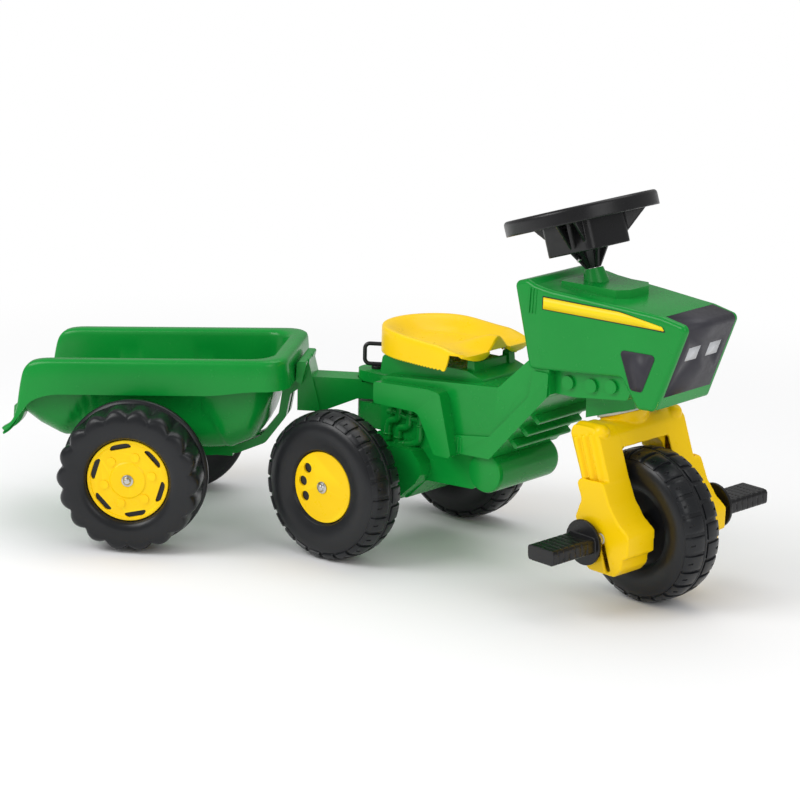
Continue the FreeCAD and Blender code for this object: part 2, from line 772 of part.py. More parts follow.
def rear_spacers():
    start = HOUSING_HALF + GAP
    end = REAR_HALF_TRACK - REAR_HALF_WIDTH + 6 - GAP
    tube = cut(rod(AXLE_R + BUSH_WALL, start, end, 0, WHEEL_R),
               rod(AXLE_R + RUN_FIT, start - 1, end + 1, 0, WHEEL_R))
    return group(both_sides(tube))


# Front wheel and crank

def front_tyre():
    half = FRONT_HALF_WIDTH
    outer = ring([(-half + 12, AXLE_R + 10, 2), (-half + 12, 48, 6), (-half + 6, 56, 6), (-half, 70, 10),
            (-half, 88, 14),
                  (-half + 10, WHEEL_R - 1, 10), (0, WHEEL_R, 60), (half - 10, WHEEL_R - 1, 10),
                  (half, 88, 14), (half, 70, 10), (half - 6, 56, 6), (half - 12, 48, 6),
                  (half - 12, AXLE_R + 10, 2)])
    d = TYRE_WALL
    hollow = ring([(-half + 12 + d, 30, 2), (-half + 12 + d, 50, 6), (-half + d, 72, 10),
            (-half + d, 87, 12),
                   (-half + 11, WHEEL_R - d - 1, 8), (0, WHEEL_R - d, 60), (half - 11, WHEEL_R - d - 1, 8),
                   (half - d, 87, 12), (half - d, 72, 10), (half - 12 - d, 50, 6), (half - 12 - d, 30, 2)])
    solid = cut(outer, hollow)
    solid.translate(AXLE)
    return steered(solid)


def front_hub():
    """The spool that the tyre is moulded round, splined to the crank axle."""
    half = LEG_IN - SIDE_GAP
    spool = ring([(-half, AXLE_R), (-half, AXLE_R + 8, 2), (-FRONT_HALF_WIDTH + 12, AXLE_R + 10),
                  (FRONT_HALF_WIDTH - 12, AXLE_R + 10), (half, AXLE_R + 8, 2), (half, AXLE_R)])
    spool.translate(AXLE)
    return steered(spool)


CRANK_DIR = V(math.cos(math.radians(CRANK_ANGLE)), 0, math.sin(math.radians(CRANK_ANGLE)))
WEB_IN = LEG_OUT + 2.0
WEB_OUT = WEB_IN + WEB_T
DISC_IN = WEB_OUT + 1.0
DISC_OUT = DISC_IN + PEDAL_DISC_T
PEDAL_END = DISC_OUT + PEDAL_LENGTH


def crank_pin(sign):
    return AXLE.add(CRANK_DIR * (THROW * sign))


def crank_axle():
    """A bent steel crank: the axle, two webs and the two pedal pins."""
    solids = [rod(AXLE_R, -WEB_OUT, WEB_OUT, AXLE.x, AXLE.z)]
    for sign in (-1, 1):
        centre = crank_pin(sign)
        y0 = sign * WEB_IN if sign > 0 else -WEB_OUT
        web = fuse(Part.makeCylinder(WEB_HALF, WEB_T, V(AXLE.x, y0, AXLE.z), Y_AXIS),
                   Part.makeCylinder(WEB_HALF, WEB_T, V(centre.x, y0, centre.z), Y_AXIS))
        bar = box(0, THROW, y0, y0 + WEB_T, -WEB_HALF, WEB_HALF)
        bar.rotate(V(0, 0, 0), Y_AXIS, -CRANK_ANGLE if sign > 0 else 180 - CRANK_ANGLE)
        bar.translate(V(AXLE.x, 0, AXLE.z))
        pin = Part.makeCylinder(AXLE_R, PEDAL_END - 6 - WEB_IN,
                                V(centre.x, sign * WEB_IN, centre.z), V(0, sign, 0))
        solids += [web, bar, pin]
    return steered(fuse(*solids))


def pedal(sign):
    """A block pedal with a round guard disc at its inner end and grooves across its tread."""
    half_w = PEDAL_WIDTH / 2
    half_h = PEDAL_HEIGHT / 2
    disc = Part.makeCylinder(PEDAL_DISC_R, PEDAL_DISC_T, V(0, DISC_IN, 0), Y_AXIS)
    block = slab([(-half_w, -half_h, 5), (half_w, -half_h, 5), (half_w, half_h, 5), (-half_w, half_h, 5)],
                 DISC_OUT, PEDAL_END)
    pitch = (PEDAL_LENGTH - 14) / PEDAL_GROOVES
    for i in range(PEDAL_GROOVES):
        y = DISC_OUT + 14 + i * pitch
        frame = cut(box(-40, 40, y, y + PEDAL_GROOVE, -40, 40),
                    box(-half_w + PEDAL_GROOVE, half_w - PEDAL_GROOVE, y - 1, y + 4,
                        -half_h + PEDAL_GROOVE, half_h - PEDAL_GROOVE))
        block = block.cut(frame)
    body = cut(fuse(disc, block), Part.makeCylinder(AXLE_R + RUN_FIT, 200, V(0, 0, 0), Y_AXIS).common(
        box(-20, 20, 0, PEDAL_END - 5, -20, 20)))
    if sign < 0:
        body = body.mirror(V(0, 0, 0), Y_AXIS)
    body.translate(V(crank_pin(sign).x, 0, crank_pin(sign).z))
    return steered(body)


# Seat: a dished saddle whose skirt grips the deck

def seat():
    back = SEAT_FRONT - 2 * SEAT_HALF - 21
    plan = [(back, -SEAT_HALF, 77), (SEAT_FRONT, -SEAT_HALF, 10), (SEAT_FRONT, SEAT_HALF, 10),
            (back, SEAT_HALF, 77)]
    side = [(back - 5, SEAT_FOOT), (SEAT_FRONT + 5, SEAT_FOOT), (SEAT_FRONT + 5, SEAT_TOP_FRONT),
            (back - 5, SEAT_TOP_REAR + 3)]
    outer = plate(plan, SEAT_FOOT, SEAT_TOP_REAR + 10).common(slab(side, -100, 100))
    middle = (SEAT_FRONT + back) / 2 + 6
    bowl = Part.makeSphere(150, V(middle, 0, SEAT_TOP_REAR + 150 - SEAT_DISH))
    inner_plan = [(back + 14, -SEAT_HALF + 12, 56), (SEAT_FRONT + 9, -SEAT_HALF + 12, 10),
                  (SEAT_FRONT + 9, SEAT_HALF - 12, 10), (back + 14, SEAT_HALF - 12, 56)]
    bowl = bowl.common(plate(inner_plan, SEAT_FOOT, SEAT_TOP_REAR + 20))
    shell = cut(outer, bowl)
    d = SEAT_WALL
    cavity_plan = [(back + d, -SEAT_HALF + d, 63), (SEAT_FRONT - d, -SEAT_HALF + d, 7),
                   (SEAT_FRONT - d, SEAT_HALF - d, 7), (back + d, SEAT_HALF - d, 63)]
    cavity = plate(cavity_plan, SEAT_FOOT - 1, SEAT_FOOT + 14)
    front = slab([(128, SEAT_FOOT - 5), (138, 286, 6), (SEAT_FRONT + 5, 288),
            (SEAT_FRONT + 5, SEAT_FOOT - 5)], -100, 100)
    feet = [box(30, 112, y - 6, y + 6, DECK_Z + GAP, SEAT_FOOT + 15) for y in (-30, 30)]
    return cut(fuse(cut(shell, cavity), *feet), front)


# Hitch pin with its pull loop

def hitch_pin():
    foot = LUG_LOW_Z - LUG_LOW_T - 2
    shaft = Part.makeCylinder(PIN_R, LUG_TOP_Z - foot, V(HITCH_X, 0, foot))
    collar = Part.makeCylinder(PIN_COLLAR_R, PIN_COLLAR_T, V(HITCH_X, 0, LUG_TOP_Z))
    z0 = LUG_TOP_Z + PIN_COLLAR_T + LOOP_R - 1
    z1 = z0 + LOOP_HEIGHT
    path = outline([(-LOOP_HALF, z0, 7), (LOOP_HALF, z0, 7), (LOOP_HALF, z1, 7), (-LOOP_HALF, z1, 7)],
                   lambda q: V(q.x, 0, q.y))
    start = path.Edges[0]
    profile = Part.Wire(Part.makeCircle(LOOP_R, start.valueAt(start.FirstParameter),
                                        start.tangentAt(start.FirstParameter)))
    loop = path.makePipeShell([profile], True, False)
    loop.rotate(V(0, 0, 0), Z_AXIS, TRAILER_YAW)
    loop.translate(V(HITCH_X, 0, 0))
    return fuse(shaft, collar, loop)


# Trailer

def arm_outline():
    foot = ARM_TOP - ARM_T
    return [(-90, POST_TOP_Z, 3), (-104, POST_TOP_Z, 3), (-106, 213, 2), (-126, 203, 6), (-132, 161, 14),
            (-157, 128, 20), (-189, 114, 20), (-222, 110, 20), (TRAILER_AXLE_X - 12, ARM_TOP, 3),
            (TRAILER_AXLE_X - 12, foot, 3), (-225, foot, 20), (-187, 103, 20), (-150, 119, 16),
            (-122, 157, 14), (-116, 190, 8), (-97, 203, 6)]


def drawbar():
    """Drawbar, upright post and the two arms that run down and back to the axle."""
    low = EYE_TOP_Z - EYE_T
    eye = Part.makeCylinder(LUG_R - 5, EYE_T, V(0, 0, low))
    tongue = slab([(0, low), (-24, low, 8), (-69, 169, 6), (-96, 168, 4), (-100, EYE_TOP_Z + 4),
            (-20, EYE_TOP_Z + 4, 3),
                   (-18, EYE_TOP_Z), (0, EYE_TOP_Z)], -LUG_R + 6, LUG_R - 6)
    tongue = cut(tongue, Part.makeCylinder(LUG_R + 1, 30, V(0, 0, EYE_TOP_Z)))
    post = slab([(-74, 168, 3), (-92, POST_TOP_Z, 4), (-104, POST_TOP_Z, 4), (-106, 213), (-106, 168)],
                -POST_PLATE_HALF, POST_PLATE_HALF)
    arm = slab(arm_outline(), ARM_IN, ARM_OUT)
    braces = [slab([(-91, POST_TOP_Z, 3), (-104, POST_TOP_Z, 3), (-106, 213),
            (-98, 208)], -BRACE_HALF, BRACE_HALF),
              box(-215, -195, -ARM_OUT, ARM_OUT, ARM_TOP - ARM_T + 1, ARM_TOP - 1)]
    boss = rod(AXLE_R + BUSH_WALL + 4, ARM_IN, ARM_OUT, TRAILER_AXLE_X, WHEEL_R)
    whole = fuse(eye, tongue, post, *both_sides(fuse(arm, boss)), *braces)
    whole = cut(whole, Part.makeCylinder(PIN_R + RUN_FIT, 80, V(0, 0, low - 10)),
                rod(AXLE_R + BUSH_WALL, -80, 80, TRAILER_AXLE_X, WHEEL_R))
    return hitched(whole)


def trailer_bushes():
    return hitched(group(both_sides(axle_bush(ARM_IN, ARM_OUT, TRAILER_AXLE_X, WHEEL_R))))


TRAILER_FACE = TRAILER_HALF_TRACK + TRAILER_HALF_WIDTH - TRAILER_RIM_RECESS + GAP


def trailer_axle():
    end = TRAILER_FACE + NUT_LENGTH - 1.2
    return hitched(rod(AXLE_R, -end, end, TRAILER_AXLE_X, WHEEL_R))


def trailer_push_nuts():
    shape = group([push_nut(sign, TRAILER_FACE) for sign in (-1, 1)])
    shape.translate(V(TRAILER_AXLE_X, 0, WHEEL_R))
    return hitched(shape)


def lug_tyre(sign):
    """A tractor tyre: a smooth inner flange, a tread drum and lugs that end in scallops."""
    half = TRAILER_HALF_WIDTH
    recess = TRAILER_RIM_RECESS + TRAILER_RIM_T
    drum = ring([(-half + 8, AXLE_R + RUN_FIT), (-half + 8, TYRE_HUB_R, 2), (-half + 14, TYRE_HUB_R + 6, 4),
                 (-half + 10, 52, 6), (-half, 70, 8), (-half, WHEEL_R, 2), (-half + 6, WHEEL_R, 2),
                 (-half + 7, TRAILER_TREAD_R - 4, 2), (half, TRAILER_TREAD_R - 6, 5), (half, 66, 8),
                 (half - TRAILER_RIM_RECESS, TRAILER_RIM_R + GAP, 2),
                         (half - recess, TRAILER_RIM_R + GAP, 1),
                 (half - recess, AXLE_R + RUN_FIT)])
    hollow = ring([(-half + 16, 34, 4), (-half + 13, 54, 6), (-half + 4, 72, 6), (-half + 4, 82, 4),
                   (half - 5, TRAILER_TREAD_R - 10, 4), (half - 4, 68, 6), (half - recess - 3, 56, 3),
                   (half - recess - 3, 34, 3)])
    lugs = []
    for i in range(LUGS):
        lug_ = slab([(-7, TRAILER_TREAD_R - 10), (7, TRAILER_TREAD_R - 10), (5, WHEEL_R - 1, 2),
                (-5, WHEEL_R - 1, 2)],
                    -half + 5, half - 8)
        nose = slab([(-8, TRAILER_TREAD_R - 10), (8, TRAILER_TREAD_R - 10), (6, TRAILER_TREAD_R, 4),
                     (-6, TRAILER_TREAD_R, 4)], half - 14, half)
        piece = fuse(lug_, nose)
        piece.rotate(V(0, 0, 0), Y_AXIS, i * 360 / LUGS)
        lugs.append(piece)
    solid = fuse(cut(drum, hollow), *lugs)
    if sign < 0:
        solid = solid.mirror(V(0, 0, 0), Y_AXIS)
    return hitched(at_wheel(solid, sign, TRAILER_AXLE_X, TRAILER_HALF_TRACK))


def trailer_rim(sign):
    """A yellow rim with six lens-shaped slots, six bosses and a raised middle."""
    out = TRAILER_HALF_WIDTH - TRAILER_RIM_RECESS
    disc = ring([(out - TRAILER_RIM_T, AXLE_R + RUN_FIT), (out - TRAILER_RIM_T, TRAILER_RIM_R, 1),
                 (out, TRAILER_RIM_R, 1), (out, TRAILER_RIM_R - 4), (out - 1.5, TRAILER_RIM_R - 5),
                 (out - 1.5, 25), (out, 23), (out, AXLE_R + RUN_FIT)])
    for i in range(6):
        turn = TRAILER_RIM_TURN + 60 * i
        boss = rod(6.0, out - 2, out, 0, 33)
        boss.rotate(V(0, 0, 0), Y_AXIS, turn)
        lens = slab([(-17, 43, 4), (17, 43, 4), (11, 50, 8), (-11, 50, 8)], out - 10, out + 10)
        lens.rotate(V(0, 0, 0), Y_AXIS, turn + 30)
        disc = cut(fuse(disc, boss), lens)
    if sign < 0:
        disc = disc.mirror(V(0, 0, 0), Y_AXIS)
    return hitched(at_wheel(disc, sign, TRAILER_AXLE_X, TRAILER_HALF_TRACK))


def tub_side(inset):
    """Side view of the tub's rim, skirt and curved tail, drawn level."""
    d = inset
    return [(TUB_FRONT + 5, 205), (-145, 203, 20), (-212, 199), (-405, 198, 12), (-452, 190, 24),
            (-484, 150, 8),
            (-491, 145, 1.5), (-496 + d, 149, 1.5), (-475 + d, 170, 24), (-467 + d, 214, 30),
            (-452 + d, TUB_RIM_Z - d, 14), (TUB_FRONT + 5, TUB_RIM_Z - d)]


def bowl_side(inset):
    """Side view of the tub's bowl, drawn level; an inset outline runs out past its top and tail."""
    d = inset
    top = TUB_RIM_Z + d
    tail = TUB_REAR - 1 - 30 * d
    return [(tail, 163 + d), (TUB_REAR, 163 + d, 6), (-420, 127 + d, 40), (-222, TUB_FLOOR_Z + d, 40),
            (-190, 112 + d, 30),
            (-160, 124 + d, 20), (-133 - d, 153, 25), (-127 - d, 200, 20), (-126 - d, top), (tail, top)]


def tub_plan(inset, front, half):
    return [(-650, -half + inset), (front - inset, -half + inset, 30 - inset),
            (front - inset, half - inset, 30 - inset),
            (-650, half - inset)]


def tub():
    """A tub with a broad flanged rim, a hanging skirt and an open, lipped tail."""
    d = TUB_WALL
    low, high = 100, TUB_RIM_Z + 5
    half = TUB_HALF - FLANGE
    outer = plate(tub_plan(0, TUB_FRONT, TUB_HALF), low, high)
    skirt = cut(outer, plate(tub_plan(d, TUB_FRONT, TUB_HALF), low - 1,
            high + 1)).common(slab(tub_side(0), -200, 200))
    opening = plate(tub_plan(0, TUB_FRONT - FLANGE, half), low - 1, high + 1)
    brim = cut(slab(tub_side(0), -200, 200), slab(tub_side(d), -200, 200)).common(cut(outer, opening))
    brim = brim.common(box(-600, 0, -200, 200, 163, 300))
    bowl = slab(bowl_side(0), -half, half).common(slab(tub_limit(), -200, 200))
    room = slab(bowl_side(d), -half + d, half - d)
    lip = slab([(TUB_REAR + 4, 158), (-494, 144, 1), (-496, 148, 1), (TUB_REAR - 2, 166),
            (TUB_REAR + 4, 163)],
               -TUB_HALF + 1, TUB_HALF - 1)
    shell = cut(fuse(bowl, brim), room)
    return hitched(pitched(fuse(shell, skirt, lip)))


def tub_limit():
    return [(-100, 90), (-600, 90), (-496, 149), (-475, 170, 24), (-467, 214, 30), (-452, TUB_RIM_Z, 14),
            (-100, TUB_RIM_Z)]


def tub_hinge_ears():
    """Two clamps under the tub that turn on the trailer axle."""
    ear = cut(slab([(TRAILER_AXLE_X - 12, WHEEL_R - 9, 7), (TRAILER_AXLE_X + 12, WHEEL_R - 9, 7),
                    (TRAILER_AXLE_X + 20, 130), (TRAILER_AXLE_X - 20, 130)], EAR_IN, EAR_OUT),
              rod(AXLE_R + RUN_FIT, EAR_IN - 5, EAR_OUT + 5, TRAILER_AXLE_X, WHEEL_R))
    ears = cut(group(both_sides(ear)), slab(bowl_side(0), -100, 100))
    return hitched(pitched(ears))


NODES = {
    "body_shell": body_shell,
    "bonnet": bonnet,
    "grille_panel": grille_panel,
    "headlamp_panels": headlamp_panels,
    "bonnet_stripes": bonnet_stripes,
    "side_vent_panels": side_vent_panels,
    "column_boot": column_boot,
    "bonnet_screws": bonnet_screws,
    "lower_steering_bush": lower_bush,
    "upper_steering_bush": upper_bush,
    "rear_axle": rear_axle,
    "rear_axle_bushes": rear_bushes,
    "rear_axle_spacers": rear_spacers,
    "rear_push_nuts": rear_push_nuts,
    "seat": seat,
    "fork": fork,
    "fork_axle_bushes": fork_bushes,
    "steering_column": steering_column,
    "column_sleeve": column_sleeve,
    "stem_screw": stem_screw,
    "steering_wheel": steering_wheel,
    "wheel_centre_cap": wheel_centre_cap,
    "front_tyre": front_tyre,
    "front_hub": front_hub,
    "crank_axle": crank_axle,
    "right_pedal": lambda: pedal(-1),
    "left_pedal": lambda: pedal(1),
    "rear_right_tyre": lambda: at_wheel(tyre(REAR_HALF_WIDTH, DISC_R, DISC_RECESS, -1), -1),
    "rear_left_tyre": lambda: at_wheel(tyre(REAR_HALF_WIDTH, DISC_R, DISC_RECESS, 1), 1),
    "rear_right_disc": lambda: rear_disc(-1),
    "rear_left_disc": lambda: rear_disc(1),
    "hitch_pin": hitch_pin,
    "drawbar": drawbar,
    "trailer_axle": trailer_axle,
    "trailer_axle_bushes": trailer_bushes,
    "trailer_push_nuts": trailer_push_nuts,
    "trailer_right_tyre": lambda: lug_tyre(-1),
    "trailer_left_tyre": lambda: lug_tyre(1),
    "trailer_right_rim": lambda: trailer_rim(-1),
    "trailer_left_rim": lambda: trailer_rim(1),
    "tub": tub,
    "tub_hinge_ears": tub_hinge_ears,
}


def main():
    os.makedirs("parts", exist_ok=True)
    shapes = {}
    for name, make in NODES.items():
        shapes[name] = make()
        state = "ok" if shapes[name].isValid() else "INVALID"
        print(name, state, len(shapes[name].Solids), round(shapes[name].Volume / 1000, 1))
    # The origin goes to the middle of the underside of the box round the whole toy
    points = [point for shape in shapes.values() for point in shape.tessellate(0.3)[0]]
    low = V(min(p.x for p in points), min(p.y for p in points), min(p.z for p in points))
    high = V(max(p.x for p in points), max(p.y for p in points), max(p.z for p in points))
    shift = V(-(low.x + high.x) / 2, -(low.y + high.y) / 2, -low.z)
    print("size", high.sub(low))
    print("shift", shift)
    for name, shape in shapes.items():
        shape.translate(shift)
        shape.exportStep("parts/" + name + ".step")


main()
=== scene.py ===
"""Looks of the pedal tractor and its trailer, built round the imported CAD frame."""

import json
import math

import bpy
from mathutils import Matrix, Vector


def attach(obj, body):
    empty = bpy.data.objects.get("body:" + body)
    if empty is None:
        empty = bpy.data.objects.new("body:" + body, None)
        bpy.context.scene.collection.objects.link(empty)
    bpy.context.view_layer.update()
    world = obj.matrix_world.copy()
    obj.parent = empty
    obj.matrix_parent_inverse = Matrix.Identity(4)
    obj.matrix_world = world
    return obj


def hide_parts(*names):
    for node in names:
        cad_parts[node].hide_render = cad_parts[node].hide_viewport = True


bl_info = {
    "name": "Pedal Tractor and Trailer",
    "version": (1, 0, 0),
    "blender": (4, 5, 0),
    "location": "View3D > Sidebar > Pedal Tractor",
    "description": "Dresses the CAD model of a child's pedal tractor with moulded detail and finishes",
    "category": "Object",
}

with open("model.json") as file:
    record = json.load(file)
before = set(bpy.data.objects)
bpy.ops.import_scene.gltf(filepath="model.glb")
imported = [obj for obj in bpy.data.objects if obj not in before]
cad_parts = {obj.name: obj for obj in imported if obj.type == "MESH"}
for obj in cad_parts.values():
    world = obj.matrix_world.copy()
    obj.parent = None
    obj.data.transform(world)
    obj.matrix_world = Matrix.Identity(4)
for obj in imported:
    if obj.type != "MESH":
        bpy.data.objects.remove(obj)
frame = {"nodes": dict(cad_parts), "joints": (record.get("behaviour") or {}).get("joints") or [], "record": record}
NODES = frame["nodes"]
JOINTS = {joint["name"]: joint for joint in frame["joints"]}
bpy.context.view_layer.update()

AXLE_HEIGHT = 0.1
STEER_AXIS = Vector(JOINTS["steering"]["axis"]).normalized()
STEER_POINT = Vector(JOINTS["steering"]["pos_m"])
STEER_TURN = math.radians(-9.0)
FRONT_AXLE = Vector(JOINTS["front_wheel_spin"]["pos_m"])
FRONT_SIDE = Vector(JOINTS["front_wheel_spin"]["axis"]).normalized()
REAR_AXLE = Vector(JOINTS["rear_left_spin"]["pos_m"])
HITCH = Vector(JOINTS["trailer_yaw"]["pos_m"])
TRAILER_AXLE = Vector(JOINTS["trailer_left_spin"]["pos_m"])
TRAILER_SIDE = Vector(JOINTS["trailer_left_spin"]["axis"]).normalized()
MM = 0.001


def tractor_point(x, y, z):
    """A point in millimetres from the ground under the rear axle, as a point in the frame."""
    return Vector((REAR_AXLE.x + x * MM, REAR_AXLE.y + y * MM, z * MM))


def axle_place(centre, side):
    """Places a wheel drawn round the Z axis, outer face up, on an axle that points along side."""
    z = side.normalized()
    x = Vector((0, 0, 1)).cross(z).normalized()
    y = z.cross(x)
    turn = Matrix((x, y, z)).transposed().to_4x4()
    return Matrix.Translation(centre) @ turn


# Modelling helpers

def clear_selection():
    if bpy.context.object and bpy.context.object.mode != "OBJECT":
        bpy.ops.object.mode_set(mode="OBJECT")
    bpy.ops.object.select_all(action="DESELECT")


def make_active(piece):
    clear_selection()
    piece.select_set(True)
    bpy.context.view_layer.objects.active = piece


def edit(piece, select_mode="FACE"):
    make_active(piece)
    bpy.ops.object.mode_set(mode="EDIT")
    bpy.ops.mesh.select_mode(type=select_mode)


def end_edit():
    bpy.ops.object.mode_set(mode="OBJECT")


def pick_faces(piece, test):
    """Selects the faces whose middle and normal pass the test, and leaves edit mode on."""
    edit(piece)
    bpy.ops.mesh.select_all(action="DESELECT")
    end_edit()
    for face in piece.data.polygons:
        face.select = bool(test(face.center, face.normal))
    bpy.ops.object.mode_set(mode="EDIT")


def tidy_mesh(piece):
    """Joins doubled points and turns every face outwards."""
    edit(piece, "VERT")
    bpy.ops.mesh.select_all(action="SELECT")
    bpy.ops.mesh.remove_doubles(threshold=0.00002)
    bpy.ops.mesh.normals_make_consistent(inside=False)
    end_edit()


def apply_all(piece):
    make_active(piece)
    for modifier in list(piece.modifiers):
        bpy.ops.object.modifier_apply(modifier=modifier.name)


def settle(piece, place=None):
    """Puts the place into the mesh, so that the object itself sits at the origin."""
    make_active(piece)
    if place is not None:
        piece.matrix_world = place @ piece.matrix_world
        bpy.context.view_layer.update()
    bpy.ops.object.transform_apply(location=True, rotation=True, scale=True)


def smooth(piece, angle=35.0):
    make_active(piece)
    bpy.ops.object.shade_smooth_by_angle(angle=math.radians(angle))


def lathe(name, profile, segments, closed=True):
    """A profile of (radius, height) turned round Z, one extruded ring after another."""
    clear_selection()
    bpy.ops.mesh.primitive_circle_add(vertices=segments, radius=profile[0][0], location=(0, 0, profile[0][1]))
    piece = bpy.context.object
    piece.name = name
    settle(piece)
    edit(piece, "VERT")
    bpy.ops.mesh.select_all(action="SELECT")
    radius, height = profile[0]
    path = list(profile[1:]) + ([profile[0]] if closed else [])
    for new_radius, new_height in path:
        bpy.ops.mesh.extrude_region_move(TRANSFORM_OT_translate={"value": (0, 0, new_height - height)})
        grow = new_radius / radius
        bpy.ops.transform.resize(value=(grow, grow, 1), center_override=(0, 0, new_height))
        radius, height = new_radius, new_height
    end_edit()
    tidy_mesh(piece)
    return piece


def soft_edges(piece, width, segments=2, angle=30.0):
    """A rounded moulding edge that is applied to a piece of the scene's own."""
    bevel = piece.modifiers.new("Moulding edge", "BEVEL")
    bevel.width = width
    bevel.segments = segments
    bevel.limit_method = "ANGLE"
    bevel.angle_limit = math.radians(angle)
    bevel.harden_normals = False
    apply_all(piece)


# Materials

def node(tree, kind, x, y, **values):
    made = tree.nodes.new(kind)
    made.location = (x, y)
    for key, value in values.items():
        if key in made.inputs:
            made.inputs[key].default_value = value
        else:
            setattr(made, key, value)
    return made


def moulded_plastic(name, colour, roughness, grain, grain_depth, shift=0.06, shine=0.3, wear=0.35):
    """Blow-moulded or injected plastic: flow marks, a fine skin, faint scuffs and paler edges."""
    material = bpy.data.materials.new(name)
    material.use_nodes = True
    tree = material.node_tree
    shader = tree.nodes["Principled BSDF"]
    shader.inputs["IOR"].default_value = 1.49
    shader.inputs["Specular IOR Level"].default_value = shine
    place = node(tree, "ShaderNodeTexCoord", -1100, 0)
    flow = node(tree, "ShaderNodeTexNoise", -900, 200, Scale=9.0, Detail=4.0, Roughness=0.55)
    scuff = node(tree, "ShaderNodeTexNoise", -900, -60, Scale=60.0, Detail=8.0, Roughness=0.7)
    skin = node(tree, "ShaderNodeTexNoise", -900, -320, Scale=grain, Detail=3.0, Roughness=0.6)
    waves = node(tree, "ShaderNodeTexNoise", -900, -560, Scale=14.0, Detail=2.0, Roughness=0.5)
    for texture in (flow, scuff, skin, waves):
        tree.links.new(place.outputs["Object"], texture.inputs["Vector"])
    tint = node(tree, "ShaderNodeValToRGB", -640, 200)
    tint.color_ramp.elements[0].position = 0.3
    tint.color_ramp.elements[1].position = 0.7
    tint.color_ramp.elements[0].color = (*[c * (1 - shift) for c in colour], 1)
    tint.color_ramp.elements[1].color = (*[min(1.0, c * (1 + shift) + 0.002) for c in colour], 1)
    tree.links.new(flow.outputs["Fac"], tint.inputs["Fac"])
    edge = node(tree, "ShaderNodeNewGeometry", -900, 440)
    rub = node(tree, "ShaderNodeMapRange", -640, 440)
    rub.inputs["From Min"].default_value = 0.53
    rub.inputs["From Max"].default_value = 0.66
    rub.inputs["To Max"].default_value = wear
    tree.links.new(edge.outputs["Pointiness"], rub.inputs["Value"])
    mix = node(tree, "ShaderNodeMix", -360, 260, data_type="RGBA")
    pale = [min(1.0, c * 1.25 + 0.008) for c in colour]
    mix.inputs["B"].default_value = (*pale, 1)
    mix.inputs[7].default_value = (*pale, 1)
    tree.links.new(rub.outputs["Result"], mix.inputs["Factor"])
    tree.links.new(tint.outputs["Color"], mix.inputs[6])
    tree.links.new(mix.outputs[2], shader.inputs["Base Color"])
    gloss = node(tree, "ShaderNodeMapRange", -640, -60)
    gloss.inputs["From Min"].default_value = 0.35
    gloss.inputs["From Max"].default_value = 0.75
    gloss.inputs["To Min"].default_value = roughness * 0.88
    gloss.inputs["To Max"].default_value = min(1.0, roughness * 1.25)
    tree.links.new(scuff.outputs["Fac"], gloss.inputs["Value"])
    tree.links.new(gloss.outputs["Result"], shader.inputs["Roughness"])
    fine = node(tree, "ShaderNodeBump", -360, -320, Strength=0.35, Distance=grain_depth)
    broad = node(tree, "ShaderNodeBump", -160, -420, Strength=0.2, Distance=0.0008)
    tree.links.new(skin.outputs["Fac"], fine.inputs["Height"])
    tree.links.new(waves.outputs["Fac"], broad.inputs["Height"])
    tree.links.new(fine.outputs["Normal"], broad.inputs["Normal"])
    tree.links.new(broad.outputs["Normal"], shader.inputs["Normal"])
    return material


def turned_steel(name, colour, roughness):
    """Zinc-plated steel with fine turning lines and a mottled bloom."""
    material = bpy.data.materials.new(name)
    material.use_nodes = True
    tree = material.node_tree
    shader = tree.nodes["Principled BSDF"]
    shader.inputs["Metallic"].default_value = 1.0
    place = node(tree, "ShaderNodeTexCoord", -900, 0)
    bloom = node(tree, "ShaderNodeTexNoise", -700, 150, Scale=140.0, Detail=6.0, Roughness=0.6)
    lines = node(tree, "ShaderNodeTexNoise", -700, -150, Scale=900.0, Detail=2.0, Roughness=0.5)
    tree.links.new(place.outputs["Object"], bloom.inputs["Vector"])
    tree.links.new(place.outputs["Object"], lines.inputs["Vector"])
    tint = node(tree, "ShaderNodeValToRGB", -450, 150)
    tint.color_ramp.elements[0].color = (*[c * 0.86 for c in colour], 1)
    tint.color_ramp.elements[1].color = (*colour, 1)
    tree.links.new(bloom.outputs["Fac"], tint.inputs["Fac"])
    tree.links.new(tint.outputs["Color"], shader.inputs["Base Color"])
    gloss = node(tree, "ShaderNodeMapRange", -450, -60)
    gloss.inputs["To Min"].default_value = roughness * 0.8
    gloss.inputs["To Max"].default_value = roughness * 1.3
    tree.links.new(bloom.outputs["Fac"], gloss.inputs["Value"])
    tree.links.new(gloss.outputs["Result"], shader.inputs["Roughness"])
    bump = node(tree, "ShaderNodeBump", -250, -200, Strength=0.2, Distance=0.0001)
    tree.links.new(lines.outputs["Fac"], bump.inputs["Height"])
    tree.links.new(bump.outputs["Normal"], shader.inputs["Normal"])
    return material


FINISHES = {}


def paint(piece, finish):
    piece.data.materials.clear()
    piece.data.materials.append(FINISHES[finish])


def own_piece(piece, finish, body, *stands_for):
    """Finishes a piece of the scene: paint, slot, the body it rides on and the nodes it stands for."""
    paint(piece, finish)
    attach(piece, body)
    if stands_for:
        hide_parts(*stands_for)


# Settings

